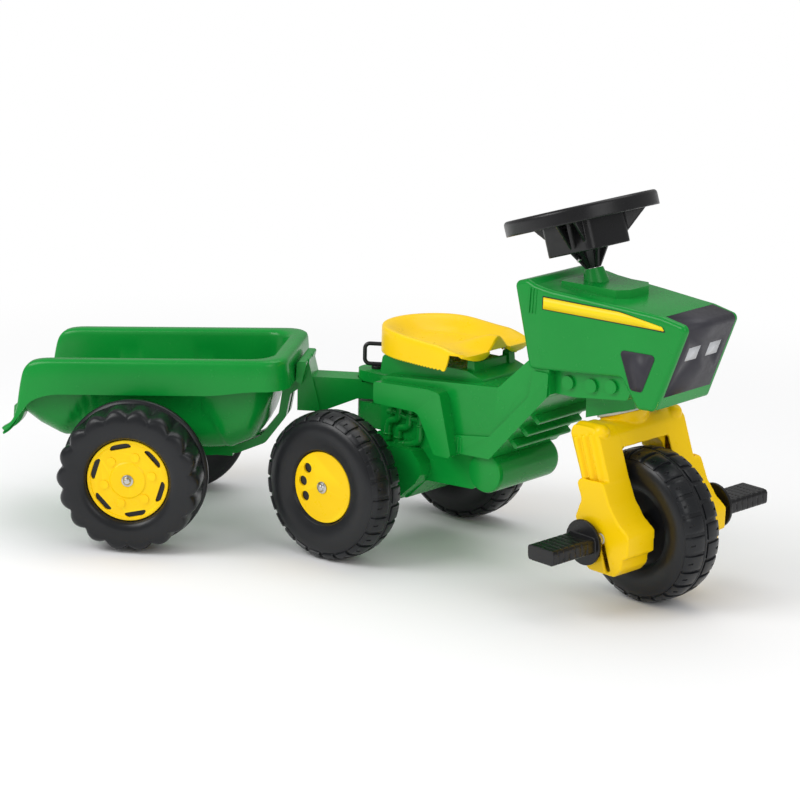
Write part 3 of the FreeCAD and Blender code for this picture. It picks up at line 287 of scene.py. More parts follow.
class TractorColours(bpy.types.PropertyGroup):
    """Colours of the mouldings, prints and metal."""
    green: bpy.props.FloatVectorProperty(
        name="Green", description="Colour of the body, bonnet and trailer mouldings", subtype="COLOR", size=3,
        min=0.0, max=1.0, default=(0.002, 0.262, 0.032))
    yellow: bpy.props.FloatVectorProperty(
        name="Yellow", description="Colour of the seat, fork and wheel discs", subtype="COLOR", size=3,
        min=0.0, max=1.0, default=(1.0, 0.63, 0.0))
    black: bpy.props.FloatVectorProperty(
        name="Black", description="Colour of the steering wheel, pedals and hubs", subtype="COLOR", size=3,
        min=0.0, max=1.0, default=(0.008, 0.008, 0.009))
    tyre: bpy.props.FloatVectorProperty(
        name="Tyre black", description="Colour of the moulded wheels", subtype="COLOR", size=3,
        min=0.0, max=1.0, default=(0.0075, 0.0085, 0.0105))
    print_grey: bpy.props.FloatVectorProperty(
        name="Print grey", description="Colour of the grille and side vent prints", subtype="COLOR", size=3,
        min=0.0, max=1.0, default=(0.035, 0.034, 0.043))
    print_yellow: bpy.props.FloatVectorProperty(
        name="Stripe yellow", description="Colour of the bare stripe along the bonnet", subtype="COLOR", size=3,
        min=0.0, max=1.0, default=(0.93, 0.66, 0.0))
    lamp: bpy.props.FloatVectorProperty(
        name="Lamp grey", description="Colour of the printed headlamps", subtype="COLOR", size=3,
        min=0.0, max=1.0, default=(0.52, 0.53, 0.55))
    metal: bpy.props.FloatVectorProperty(
        name="Metal", description="Colour of the axles and push-on nuts", subtype="COLOR", size=3,
        min=0.0, max=1.0, default=(0.62, 0.61, 0.6))


class TractorSizes(bpy.types.PropertyGroup):
    """Sizes of the detail that this scene adds."""
    edge: bpy.props.FloatProperty(
        name="Moulding edge", description="Width of the rounded edges of the green and yellow mouldings",
        default=0.0016, min=0.0002, max=0.004, unit="LENGTH")
    tread_depth: bpy.props.FloatProperty(
        name="Tread depth", description="Height of the tread blocks on the tractor's wheels",
        default=0.0024, min=0.0005, max=0.004, unit="LENGTH")
    tread_blocks: bpy.props.IntProperty(
        name="Tread blocks", description="Number of tread blocks round each row of a tractor wheel",
        default=24, min=8, max=40)
    seat_teeth: bpy.props.FloatProperty(
        name="Seat tooth height", description="Depth of the small teeth along the foot of the seat's skirt",
        default=0.0022, min=0.0, max=0.004, unit="LENGTH")
    floor_size: bpy.props.FloatProperty(
        name="Floor size", description="Side of the studio floor", default=30.0, min=4.0, max=80.0, unit="LENGTH")


# Operators

class PEDALTRACTOR_OT_finishes(bpy.types.Operator):
    """Makes the plastics, prints and metal that every piece is painted with"""
    bl_idname = "pedaltractor.finishes"
    bl_label = "Finishes"

    def execute(self, context):
        c = context.scene.tractor_colours
        FINISHES["green_plastic"] = moulded_plastic("Green moulding", c.green, 0.24, 900.0, 0.00006, 0.05, 0.3, 0.2)
        FINISHES["yellow_plastic"] = moulded_plastic("Yellow moulding", c.yellow, 0.3, 700.0, 0.00008, 0.03, 0.25)
        FINISHES["black_plastic"] = moulded_plastic("Black moulding", c.black, 0.3, 600.0, 0.00008, 0.15, 0.4, 0.5)
        FINISHES["tyre_plastic"] = moulded_plastic("Wheel moulding", c.tyre, 0.32, 420.0, 0.0001, 0.15, 0.4, 0.5)
        FINISHES["dark_grey_print"] = moulded_plastic("Dark print", c.print_grey, 0.42, 1200.0, 0.00004, 0.08)
        FINISHES["yellow_print"] = moulded_plastic("Stripe print", c.print_yellow, 0.3, 1200.0, 0.00003, 0.02)
        FINISHES["lamp_print"] = moulded_plastic("Lamp print", c.lamp, 0.25, 1200.0, 0.00003, 0.06)
        FINISHES["bush_nylon"] = moulded_plastic("Nylon", (0.6, 0.59, 0.54), 0.45, 500.0, 0.0001)
        FINISHES["black_steel"] = moulded_plastic("Black paint on steel", (0.012, 0.012, 0.013), 0.25, 800.0, 0.00005,
                                                  0.1, 0.5, 0.6)
        FINISHES["steel"] = turned_steel("Plated steel", c.metal, 0.28)
        return {"FINISHED"}


class PEDALTRACTOR_OT_cad_mouldings(bpy.types.Operator):
    """Paints every part of the frame and rounds its moulded edges"""
    bl_idname = "pedaltractor.cad_mouldings"
    bl_label = "Frame parts"

    def execute(self, context):
        edge = context.scene.tractor_sizes.edge
        slots = {part["node"]: part["material_slot"] for part in frame["record"]["subparts"]}
        widths = {"green_plastic": edge, "yellow_plastic": edge, "black_plastic": edge * 0.6,
                  "tyre_plastic": edge, "steel": edge * 0.2, "black_steel": edge * 0.2}
        for name, part in NODES.items():
            slot = slots[name]
            paint(part, slot)
            make_active(part)
            if part.data.has_custom_normals:
                bpy.ops.mesh.customdata_custom_splitnormals_clear()
            bpy.ops.object.shade_smooth()
            weld = part.modifiers.new("Weld", "WELD")
            weld.merge_threshold = 0.00001
            if slot in widths:
                flat = part.modifiers.new("Flat faces", "DECIMATE")
                flat.decimate_type = "DISSOLVE"
                flat.angle_limit = math.radians(0.6)
                bevel = part.modifiers.new("Moulding edge", "BEVEL")
                bevel.width = widths[slot]
                bevel.segments = 2
                bevel.limit_method = "ANGLE"
                bevel.angle_limit = math.radians(28)
                bevel.harden_normals = True
            else:
                smooth(part, 30.0)
        return {"FINISHED"}


def tread_tyre(name, half, shoulder, recess_radius, recess_depth, blocks, depth, stagger):
    """A moulded wheel: crown with a parting ridge, two rows of blocks with slots, and dished faces."""
    per_block = 6
    segments = blocks * per_block
    low = 0.1 - depth
    profile = [(0.016, half - recess_depth), (recess_radius - 0.004, half - recess_depth), (recess_radius, half - recess_depth + 0.001),
               (recess_radius + 0.003, half - recess_depth + 0.006), (recess_radius + 0.012, half - 0.002),
               (recess_radius + 0.020, half), (shoulder - 0.012, half + 0.0), (shoulder - 0.004, half - 0.001),
               (shoulder + 0.001, half - 0.004), (low - 0.0035, half - 0.008), (low - 0.0012, half - 0.015),
               (low - 0.0004, half - 0.022), (low, 0.0028), (low + 0.0015, 0.0016), (low + 0.0018, 0.0)]
    back = [(radius, -height) for radius, height in reversed(profile[:-1])]
    tyre = lathe(name, profile + back, segments)
    step = math.tau / segments

    def index_at(point, row_shift):
        turn = math.atan2(point.y, point.x) % math.tau
        return int(math.floor(turn / step + row_shift)) % per_block

    def block_face(centre, normal):
        away = abs(centre.z)
        radius = math.hypot(centre.x, centre.y)
        if not (0.003 < away < half - 0.0035) or radius < shoulder - 0.002:
            return False
        shift = 0 if centre.z > 0 else stagger
        return index_at(centre, shift) != 0

    pick_faces(tyre, block_face)
    bpy.ops.mesh.inset(thickness=0.0006, use_boundary=True)
    bpy.ops.mesh.extrude_region_shrink_fatten(TRANSFORM_OT_shrink_fatten={"value": depth})
    end_edit()

    def slot_face(centre, normal):
        away = abs(centre.z)
        radius = math.hypot(centre.x, centre.y)
        if not (half - 0.0155 < away < half - 0.0085) or radius < low - 0.001:
            return False
        shift = 0 if centre.z > 0 else stagger
        return index_at(centre, shift) == 3

    pick_faces(tyre, slot_face)
    bpy.ops.mesh.inset(thickness=0.0008, use_boundary=True)
    bpy.ops.mesh.extrude_region_shrink_fatten(TRANSFORM_OT_shrink_fatten={"value": -0.0014})
    end_edit()
    tidy_mesh(tyre)
    return tyre


class PEDALTRACTOR_OT_tractor_wheels(bpy.types.Operator):
    """Models the tractor's three treaded wheels in place of their plain solids"""
    bl_idname = "pedaltractor.tractor_wheels"
    bl_label = "Tractor wheels"

    def execute(self, context):
        sizes = context.scene.tractor_sizes
        for side, sign in (("left", 1), ("right", -1)):
            tyre = tread_tyre("rear_%s_tread" % side, 0.0296, 0.088, 0.0485, 0.0102, sizes.tread_blocks,
                              sizes.tread_depth, 3)
            centre = REAR_AXLE.copy()
            centre.y += sign * 0.140
            settle(tyre, axle_place(centre, Vector((0, sign, 0))))
            soft_edges(tyre, 0.0006, 2, 32)
            smooth(tyre, 40)
            own_piece(tyre, "tyre_plastic", "rear_%s_wheel" % side, "rear_%s_tyre" % side)
        tyre = tread_tyre("front_tread", 0.033, 0.089, 0.050, 0.012, sizes.tread_blocks, sizes.tread_depth, 3)
        settle(tyre, axle_place(FRONT_AXLE, FRONT_SIDE))
        soft_edges(tyre, 0.0006, 2, 32)
        smooth(tyre, 40)
        own_piece(tyre, "tyre_plastic", "front_wheel", "front_tyre")
        return {"FINISHED"}


def ease(low, high, value):
    t = max(0.0, min(1.0, (value - low) / (high - low)))
    return t * t * (3 - 2 * t)


def bell(value, middle, width):
    return math.exp(-((value - middle) / width) ** 2)


SEAT_REAR, SEAT_FRONT, SEAT_HALF = -15.0, 162.0, 78.0
SEAT_MIDDLE = SEAT_REAR + SEAT_HALF


def seat_edge(turn):
    """Distance from the seat's middle to its outline in the direction turn, in millimetres."""
    dx, dy = math.cos(turn), math.sin(turn)
    if dx <= 0:
        return SEAT_HALF
    reach = 4000.0
    front = SEAT_FRONT - SEAT_MIDDLE
    side = SEAT_HALF
    power = 9.0
    grow = (abs(dx) / front) ** power + (abs(dy) / side) ** power
    return min(reach, grow ** (-1 / power))


def seat_height(x, y):
    """Height of the seat's top: a raised rim round the back, two thigh hollows and a ridge between."""
    if x < SEAT_MIDDLE:
        inward = SEAT_HALF - math.hypot(x - SEAT_MIDDLE, y)
    else:
        inward = SEAT_HALF - abs(y)
    rim = 304 - 6 * ease(20, 130, x) - 7 * ease(115, 158, x)
    dish = 288 - 3 * bell(x, 60, 45)
    front = ease(85, 158, x)
    dish += front * (19 * bell(y, 0, 17) + 3 * bell(abs(y), 44, 20) - 1)
    inner = ease(4, 40 - 16 * front, inward)
    height = rim * (1 - inner) + dish * inner
    height -= 6 * front * ease(0, 30, inward) * bell(abs(y), 40, 22)
    return height


class PEDALTRACTOR_OT_seat(bpy.types.Operator):
    """Models the dished seat with its rim, thigh hollows and toothed skirt"""
    bl_idname = "pedaltractor.seat"
    bl_label = "Seat"

    def execute(self, context):
        teeth = context.scene.tractor_sizes.seat_teeth / MM
        around = 232
        rings = [1.0, 0.985, 0.95, 0.9, 0.84, 0.77, 0.69, 0.6, 0.5, 0.4, 0.3, 0.2, 0.1]
        clear_selection()
        bpy.ops.mesh.primitive_circle_add(vertices=around, radius=1.0)
        seat = bpy.context.object
        seat.name = "seat_dish"
        edit(seat, "VERT")
        bpy.ops.mesh.select_all(action="SELECT")
        for outer, inner in zip(rings, rings[1:]):
            bpy.ops.mesh.extrude_region_move(TRANSFORM_OT_translate={"value": (0, 0, 0)})
            bpy.ops.transform.resize(value=(inner / outer, inner / outer, 1), center_override=(0, 0, 0))
        bpy.ops.mesh.edge_face_add()
        bpy.ops.mesh.poke()
        end_edit()
        for vertex in seat.data.vertices:
            turn = math.atan2(vertex.co.y, vertex.co.x)
            share = math.hypot(vertex.co.x, vertex.co.y)
            reach = seat_edge(turn) * share
            x = SEAT_MIDDLE + reach * math.cos(turn)
            y = reach * math.sin(turn)
            z = seat_height(x, y)
            if share > 0.975:
                z -= 3.0 if share > 0.99 else 0.6
            vertex.co = tractor_point(x, y, z)
        edit(seat, "EDGE")
        bpy.ops.mesh.select_all(action="DESELECT")
        bpy.ops.mesh.select_non_manifold()
        for drop in (0, 1, 2):
            bpy.ops.mesh.extrude_region_move(TRANSFORM_OT_translate={"value": (0, 0, -0.002)})
        end_edit()
        # the last three rings of points are the skirt
        points = seat.data.vertices
        total = len(points)
        for row in range(3):
            for i in range(around):
                vertex = points[total - around * (3 - row) + i]
                base = vertex.co
                x = (base.x - REAR_AXLE.x) / MM
                y = (base.y - REAR_AXLE.y) / MM
                foot = 268.6 - 3 * ease(20, 120, x) + 22.5 * ease(134, 140, x)
                top = seat_height(x, y) - 3.0
                share = (0.25, 0.8, 1.0)[row]
                z = top + (foot - top) * share
                if row == 2 and x < 132 and i % 2:
                    z += teeth
                base.z = z * MM
        tidy_mesh(seat)
        wall = seat.modifiers.new("Wall", "SOLIDIFY")
        wall.thickness = 0.0026
        wall.offset = -1.0
        apply_all(seat)
        smooth(seat, 40)
        own_piece(seat, "yellow_plastic", "seat", "seat")
        return {"FINISHED"}


def bead(name, size, edge):
    """A moulded bead: a block with rounded edges, drawn at the origin."""
    clear_selection()
    bpy.ops.mesh.primitive_cube_add(size=1.0)
    piece = bpy.context.object
    piece.name = name
    piece.scale = size
    settle(piece)
    soft_edges(piece, edge, 3)
    return piece


def copies(piece, places):
    """Copies a piece to each place, each with its own mesh, and joins them into one piece."""
    made = []
    for place in places:
        make_active(piece)
        bpy.ops.object.duplicate()
        twin = bpy.context.object
        settle(twin, place)
        made.append(twin)
    name = piece.name
    bpy.data.objects.remove(piece)
    clear_selection()
    for twin in made:
        twin.select_set(True)
    bpy.context.view_layer.objects.active = made[0]
    bpy.ops.object.join()
    joined = bpy.context.object
    joined.name = name
    return joined


def both_flanks(places):
    """Each place and its mirror twin on the other side of the tractor, as turned copies."""
    middle = Matrix.Translation((0, REAR_AXLE.y, 0))
    result = []
    for x, y, z, lean, swing in places:
        for sign in (-1, 1):
            at = Vector((REAR_AXLE.x + x * MM, sign * y * MM, z * MM))
            turn = Matrix.Rotation(math.radians(sign * swing), 4, "Z") @ Matrix.Rotation(math.radians(lean), 4, "Y")
            result.append(middle @ Matrix.Translation(at) @ turn)
    return result


def bent_tube(name, points, radius, rings):
    """A round moulded pipe through points in the tractor's millimetres, with collars on it."""
    clear_selection()
    curve = bpy.data.curves.new(name, "CURVE")
    curve.dimensions = "3D"
    curve.bevel_depth = radius * MM
    curve.bevel_resolution = 4
    curve.use_fill_caps = True
    spline = curve.splines.new("NURBS")
    spline.points.add(len(points) - 1)
    for spot, point in zip(spline.points, points):
        spot.co = (*tractor_point(*point), 1)
    spline.order_u = 3
    spline.resolution_u = 6
    spline.use_endpoint_u = True
    tube = bpy.data.objects.new(name, curve)
    bpy.context.scene.collection.objects.link(tube)
    make_active(tube)
    bpy.ops.object.convert(target="MESH")
    tube = bpy.context.object
    parts = [tube]
    for x, y, z, along_z in rings:
        clear_selection()
        bpy.ops.mesh.primitive_torus_add(major_radius=radius * MM, minor_radius=1.5 * MM, major_segments=24,
                                         minor_segments=8)
        ring = bpy.context.object
        turn = Matrix.Identity(4) if along_z else Matrix.Rotation(math.pi / 2, 4, "Y")
        settle(ring, Matrix.Translation(tractor_point(x, y, z)) @ turn)
        parts.append(ring)
    clear_selection()
    for part in parts:
        part.select_set(True)
    bpy.context.view_layer.objects.active = tube
    bpy.ops.object.join()
    return bpy.context.object


TUB_TURN = math.radians(31.5)
TUB_PITCH = math.radians(-2.6)


def trailer_place():
    """Places a piece drawn in the trailer's own millimetres: origin below the hitch pin, nose along X."""
    return Matrix.Translation((HITCH.x, HITCH.y, 0)) @ Matrix.Rotation(TUB_TURN, 4, "Z") @ Matrix.Scale(MM, 4)


def tub_place():
    """As the trailer's place, with the tub's slight nose-up lean about the axle."""
    axle = Matrix.Translation((-305, 0, 100))
    return trailer_place() @ axle @ Matrix.Rotation(TUB_PITCH, 4, "Y") @ axle.inverted()


def along(path, share):
    """The point at a share of a path's length, for paths given as (x, z) corners."""
    lengths = [math.dist(a, b) for a, b in zip(path, path[1:])]
    left = share * sum(lengths)
    for (a, b), length in zip(zip(path, path[1:]), lengths):
        if left <= length:
            t = left / length
            return a[0] + (b[0] - a[0]) * t, a[1] + (b[1] - a[1]) * t
        left -= length
    return path[-1]


def rounded_path(path, steps):
    """Cuts a path's corners several times, which turns them into smooth bends."""
    for _ in range(steps):
        made = [path[0]]
        for a, b in zip(path, path[1:]):
            made.append((a[0] * 0.75 + b[0] * 0.25, a[1] * 0.75 + b[1] * 0.25))
            made.append((a[0] * 0.25 + b[0] * 0.75, a[1] * 0.25 + b[1] * 0.75))
        made.append(path[-1])
        path = made
    return path


def floor_level(x):
    """Height of the tub's floor at a place along it."""
    spots = [(-600, 190), (-474, 166), (-450, 147), (-420, 131), (-380, 124), (-222, 114), (-190, 116), (-160, 128),
             (-133, 156), (-100, 215)]
    for (x0, z0), (x1, z1) in zip(spots, spots[1:]):
        if x <= x1:
            return z0 + (z1 - z0) * (x - x0) / (x1 - x0)
    return spots[-1][1]


def tub_rows():
    """Rows of the tub's sheet, from the skirt's foot up over the rim and down to the middle of the floor."""
    rim_line = [(-495, 150), (-481, 158), (-473, 176), (-467, 212), (-460, 236), (-444, 245), (-400, 245)]
    foot_line = [(-491, 146), (-483, 150), (-466, 172), (-452, 190), (-424, 198), (-400, 198)]
    rows = [(110.0, -101.5, 33, "foot", 0), (110.0, -101.8, 33, "foot", 1.2), (109.4, -102.4, 33, "blend", 0.5),
            (109.0, -103.0, 33, "rim", -7), (107.6, -104.4, 32, "rim", -2.4), (104.6, -107.4, 31, "rim", -0.3),
            (99.0, -113.0, 30, "rim", 0), (92.0, -119.0, 32, "rim", 0), (88.6, -123.5, 33, "rim", -0.8),
            (86.4, -126.5, 34, "rim", -3.4), (85.4, -127.8, 34, "rim", -8)]
    made = []
    per_side, per_corner, per_front = 96, 10, 12
    for half, front, corner, kind, drop in rows:
        row = []
        for i in range(per_side):
            share = i / per_side
            if kind == "rim":
                x, z = side_spot(rim_line, share, front - corner)
                z += drop if x > -470 else drop * 0.4
                x += -drop * (1 - ease(-470, -440, x)) * 0.6
            elif kind == "foot":
                x, z = side_spot(foot_line, share, front - corner)
                z += 6.0 * ease(-215, -140, x) + drop
            else:
                x0, z0 = side_spot(foot_line, share, front - corner)
                x1, z1 = side_spot(rim_line, share, front - corner)
                z0 += 6.0 * ease(-215, -140, x0)
                x, z = (x0 + x1) / 2, (z0 + z1 - 7) / 2
            row.append((x, half, z))
        last = row[-1][2] if kind != "foot" else 198 + 6.0 + drop
        level = {"rim": 245 + drop, "foot": 204 + drop, "blend": (204 + 238) / 2}[kind]
        for i in range(per_corner):
            turn = math.pi / 2 * (i / per_corner)
            row.append((front - corner + corner * math.sin(turn), half - corner + corner * math.cos(turn), level))
        for i in range(per_front):
            row.append((front, (half - corner) * (1 - i / (per_front - 1)), level))
        made.append(row)
    top = made[-1]
    depths = [0.10, 0.2, 0.3, 0.4, 0.5, 0.6, 0.7, 0.78, 0.85, 0.91, 0.96, 1.0]
    for depth in depths:
        row = []
        for x, y, z in top:
            sink = ease(0, 1, 0.5 + 0.5 * depth) * 2 - 1
            base_x = x - 9 * depth * ease(-200, -130, x) - 24 * max(0.0, depth - 0.55) * ease(-160, -128, x)
            low = floor_level(base_x if base_x > -470 else -470 + (base_x + 470) * 0.5) + 4
            inward = 3 * depth + 20 * ease(0.62, 1.0, depth) ** 1.4
            base_y = max(0.0, y - inward * min(1.0, y / 40.0))
            height = z + (min(z - 1, low + 12 * (1 - ease(0.6, 1.0, depth))) - z) * sink
            ring = math.hypot(base_x + 305, height - 100)
            arch = (1 - ease(112, 116, ring)) * ease(20, 60, y)
            row.append((base_x, base_y - 5.0 * arch * min(1.0, depth * 4), height))
        made.append(row)
    bottom = made[-1]
    for share in (0.85, 0.6, 0.3, 0.0):
        row = []
        for x, y, z in bottom:
            inner_x = min(x, -170 + (x + 170) * share) if x > -170 else x
            row.append((inner_x, y * share, floor_level(inner_x if inner_x > -470 else -470 + (inner_x + 470) * 0.5) + 1))
        made.append(row)
    return made


def side_spot(line, share, front):
    """A spot on a side line whose bend at the tail takes the first share and the straight the rest."""
    bend = 0.34
    smooth_line = rounded_path(line, 3)
    if share < bend:
        return along(smooth_line, share / bend)
    x0, z0 = smooth_line[-1]
    t = (share - bend) / (1 - bend)
    return x0 + (front - x0) * t, z0


class PEDALTRACTOR_OT_tub(bpy.types.Operator):
    """Models the trailer's tub as one moulded sheet: skirt, rim, bowl, wheel arch and flared tail"""
    bl_idname = "pedaltractor.tub"
    bl_label = "Tub"

    def execute(self, context):
        rows = tub_rows()
        across = len(rows[0])
        clear_selection()
        bpy.ops.mesh.primitive_grid_add(x_subdivisions=across - 1, y_subdivisions=len(rows) - 1, size=1)
        half_tub = bpy.context.object
        half_tub.name = "tub_moulding"
        columns = across
        for index, vertex in enumerate(half_tub.data.vertices):
            row, column = divmod(index, columns)
            vertex.co = rows[row][column]
        mirror = half_tub.modifiers.new("Other side", "MIRROR")
        mirror.use_axis = (False, True, False)
        mirror.use_clip = True
        mirror.merge_threshold = 0.6
        apply_all(half_tub)
        settle(half_tub, tub_place())
        tidy_mesh(half_tub)
        point_up(half_tub)
        wall = half_tub.modifiers.new("Wall", "SOLIDIFY")
        wall.thickness = 0.0028
        wall.offset = -1.0
        apply_all(half_tub)
        smooth(half_tub, 42)
        own_piece(half_tub, "green_plastic", "tub", "tub")
        return {"FINISHED"}


def point_up(piece):
    """Turns an open sheet over if most of its level faces look down."""
    total = sum(face.normal.z * face.area for face in piece.data.polygons)
    if total < 0:
        edit(piece)
        bpy.ops.mesh.select_all(action="SELECT")
        bpy.ops.mesh.flip_normals()
        end_edit()


class PEDALTRACTOR_OT_trailer_wheels(bpy.types.Operator):
    """Models the trailer's wheels: scalloped lugs outside and a smooth flange inside"""
    bl_idname = "pedaltractor.trailer_wheels"
    bl_label = "Trailer wheels"

    def execute(self, context):
        lugs, per_lug = 18, 12
        for side, sign in (("left", 1), ("right", -1)):
            profile = [(0.016, 0.0175), (0.052, 0.0175), (0.0555, 0.0185), (0.057, 0.024), (0.061, 0.0285), (0.068, 0.030),
                       (0.080, 0.030), (0.088, 0.029), (0.0935, 0.0265), (0.0965, 0.022), (0.0975, 0.014), (0.0975, 0.004),
                       (0.0972, -0.008), (0.0965, -0.0165), (0.0955, -0.0175), (0.0985, -0.0195), (0.0998, -0.0215),
                       (0.0998, -0.0262), (0.0975, -0.029), (0.090, -0.0298), (0.070, -0.0285), (0.052, -0.022),
                       (0.030, -0.020), (0.016, -0.022)]
            tyre = lathe("trailer_%s_tread" % side, profile, lugs * per_lug)
            for vertex in tyre.data.vertices:
                radius = math.hypot(vertex.co.x, vertex.co.y)
                if vertex.co.z > -0.018 and radius > 0.0845:
                    turn = math.atan2(vertex.co.y, vertex.co.x)
                    lean = turn - 1.2 * (0.03 - vertex.co.z)
                    wave = 0.5 + 0.5 * math.cos(lugs * lean)
                    valley = 1 - wave ** 0.45
                    depth = 0.0075 * ease(0.0845, 0.0965, radius) * ease(-0.0178, -0.012, vertex.co.z)
                    grow = (radius - depth * valley) / radius
                    vertex.co.x *= grow
                    vertex.co.y *= grow
            settle(tyre, axle_place(TRAILER_AXLE + TRAILER_SIDE * 0.163 * sign, TRAILER_SIDE * sign))
            smooth(tyre, 50)
            own_piece(tyre, "tyre_plastic", "trailer_%s_wheel" % side, "trailer_%s_tyre" % side)
        return {"FINISHED"}


def softened_copy(source, name, voxel, rounds, extras=()):
    """A merged copy of a frame part, joined with extra shapes and melted into one soft-edged moulding."""
    make_active(NODES[source])
    bpy.ops.object.duplicate()
    piece = bpy.context.object
    piece.name = name
    piece.parent = None
    for key in list(piece.keys()):
        del piece[key]
    piece.modifiers.clear()
    piece.matrix_world = Matrix.Identity(4)
    edit(piece, "VERT")
    bpy.ops.mesh.select_all(action="SELECT")
    bpy.ops.mesh.remove_doubles(threshold=0.00001)
    end_edit()
    if extras:
        clear_selection()
        for extra in extras:
            extra.select_set(True)
        piece.select_set(True)
        bpy.context.view_layer.objects.active = piece
        bpy.ops.object.join()
    melt = piece.modifiers.new("Melt", "REMESH")
    melt.mode = "VOXEL"
    melt.voxel_size = voxel
    melt.adaptivity = 0.0
    relax = piece.modifiers.new("Relax", "SMOOTH")
    relax.factor = 0.5
    relax.iterations = rounds
    thin = piece.modifiers.new("Thin", "DECIMATE")
    thin.ratio = 0.45
    apply_all(piece)
    make_active(piece)
    bpy.ops.object.shade_smooth()
    return piece


def steered_point(x, y, z):
    """A point on the fork, given for the fork pointing straight ahead, where it stands in the photo."""
    turn = Matrix.Rotation(STEER_TURN, 3, STEER_AXIS)
    return turn @ (tractor_point(x, y, z) - STEER_POINT) + STEER_POINT


def rounded_bar(start, end, radius):
    """A bar with domed ends between two points."""
    clear_selection()
    way = end - start
    bpy.ops.mesh.primitive_uv_sphere_add(segments=24, ring_count=12, radius=radius)
    bar = bpy.context.object
    for vertex in bar.data.vertices:
        vertex.co.z += way.length / 2 if vertex.co.z > 1e-6 else -way.length / 2
    turn = way.to_track_quat("Z", "Y").to_matrix().to_4x4()
    settle(bar, Matrix.Translation((start + end) / 2) @ turn)
    return bar


def arch_fillet(sign):
    """The rounded corner between a fork leg and the bridge over the wheel."""
    clear_selection()
    radius = 24.0
    steps = 10
    side = 43.0
    roof = 207.0
    arc = [(side - radius + radius * math.sin(a), roof - radius + radius * math.cos(a))
           for a in [math.pi / 2 * i / steps for i in range(steps + 1)]]
    section = [(side + 2, roof + 2), (side - radius, roof + 2)] + arc + [(side + 2, roof - radius)]
    bpy.ops.mesh.primitive_circle_add(vertices=len(section), fill_type="NGON")
    piece = bpy.context.object
    for vertex, (y, z) in zip(piece.data.vertices, section):
        vertex.co = Vector((356, sign * y, z))
    edit(piece)
    bpy.ops.mesh.select_all(action="SELECT")
    bpy.ops.mesh.extrude_region_move(TRANSFORM_OT_translate={"value": (42, 0, 0)})
    bpy.ops.mesh.select_all(action="SELECT")
    bpy.ops.mesh.normals_make_consistent(inside=False)
    end_edit()
    for vertex in piece.data.vertices:
        vertex.co = steered_point(*vertex.co)
    return piece


class PEDALTRACTOR_OT_fork(bpy.types.Operator):
    """Models the fork as a soft-edged moulding with three flutes on each leg and a round arch"""
    bl_idname = "pedaltractor.fork"
    bl_label = "Fork"

    def execute(self, context):
        extras = []
        for sign in (-1, 1):
            for ahead in (-14.5, 0, 14.5):
                top = (414 - 0.325 * 118 + ahead, sign * 75.5, 218 + ahead * 0.1)
                foot = (414 - 0.325 * 42 + ahead, sign * 75.5, 142)
                extras.append(rounded_bar(steered_point(*foot), steered_point(*top), 0.0066))
            extras.append(arch_fillet(sign))
            extras.append(rounded_bar(steered_point(359, sign * 66, 229), steered_point(392, sign * 66, 231), 0.0105))
        fork = softened_copy("fork", "fork_moulding", 0.0013, 9, extras)
        own_piece(fork, "yellow_plastic", "steering", "fork")
        return {"FINISHED"}


class PEDALTRACTOR_OT_hand_and_foot_parts(bpy.types.Operator):
    """Softens the steering wheel and the pedals into moulded shapes"""
    bl_idname = "pedaltractor.hand_and_foot_parts"
    bl_label = "Steering wheel and pedals"

    def execute(self, context):
        wheel = softened_copy("steering_wheel", "steering_wheel_moulding", 0.0011, 5)
        own_piece(wheel, "black_plastic", "steering", "steering_wheel")
        for side in ("left", "right"):
            pedal = softened_copy(side + "_pedal", side + "_pedal_moulding", 0.0008, 4)
            own_piece(pedal, "black_plastic", side + "_pedal", side + "_pedal")
        return {"FINISHED"}


class PEDALTRACTOR_OT_belly_ends(bpy.types.Operator):
    """Models the round raised ends of the belly cylinder"""
    bl_idname = "pedaltractor.belly_ends"
    bl_label = "Belly ends"

    def execute(self, context):
        for side, sign in (("left", 1), ("right", -1)):
            profile = [(0.0001, 0.0035), (0.0225, 0.0035), (0.0255, 0.0026), (0.0268, 0.0), (0.0268, -0.006), (0.0001, -0.006)]
            end = lathe("belly_end_" + side, profile, 72)
            settle(end, axle_place(tractor_point(193, sign * 60.5, 137), Vector((0, sign, 0))))
            smooth(end, 40)
            own_piece(end, "green_plastic", "tractor")
        return {"FINISHED"}


class PEDALTRACTOR_OT_engine_pipes(bpy.types.Operator):
    """Models the moulded engine pipes in the recess under each fender"""
    bl_idname = "pedaltractor.engine_pipes"
    bl_label = "Engine pipes"

    def execute(self, context):
        for side, sign in (("left", 1), ("right", -1)):
            y = sign * 60.0
            tubes = [
                bent_tube("pipe_a", [(26, y, 152), (26, y, 166), (28, y, 178), (42, y, 182), (46, y, 192), (46, y, 206)], 5.2,
                          [(26, y, 160, True), (46, y, 200, True)]),
                bent_tube("pipe_b", [(44, y, 150), (44, y, 164), (46, y, 172), (60, y, 174), (64, y, 184), (64, y, 206)], 5.2,
                          [(44, y, 158, True), (64, y, 192, True)]),
                bent_tube("pipe_c", [(40, y, 148), (56, y, 150), (68, y, 152), (80, y, 158), (82, y, 172), (82, y, 204)], 5.2,
                          [(82, y, 180, True), (56, y, 150, False)]),
                bent_tube("pipe_d", [(26, y, 190), (36, y, 192), (46, y, 190), (64, y, 186), (82, y, 188)], 4.0,
                          [(34, y, 191, False)]),
            ]
            clear_selection()
            for tube in tubes:
                tube.select_set(True)
            bpy.context.view_layer.objects.active = tubes[0]
            bpy.ops.object.join()
            pipes = bpy.context.object
            pipes.name = "engine_pipes_" + side
            tidy_mesh(pipes)
            smooth(pipes, 50)
            own_piece(pipes, "green_plastic", "tractor")
        return {"FINISHED"}


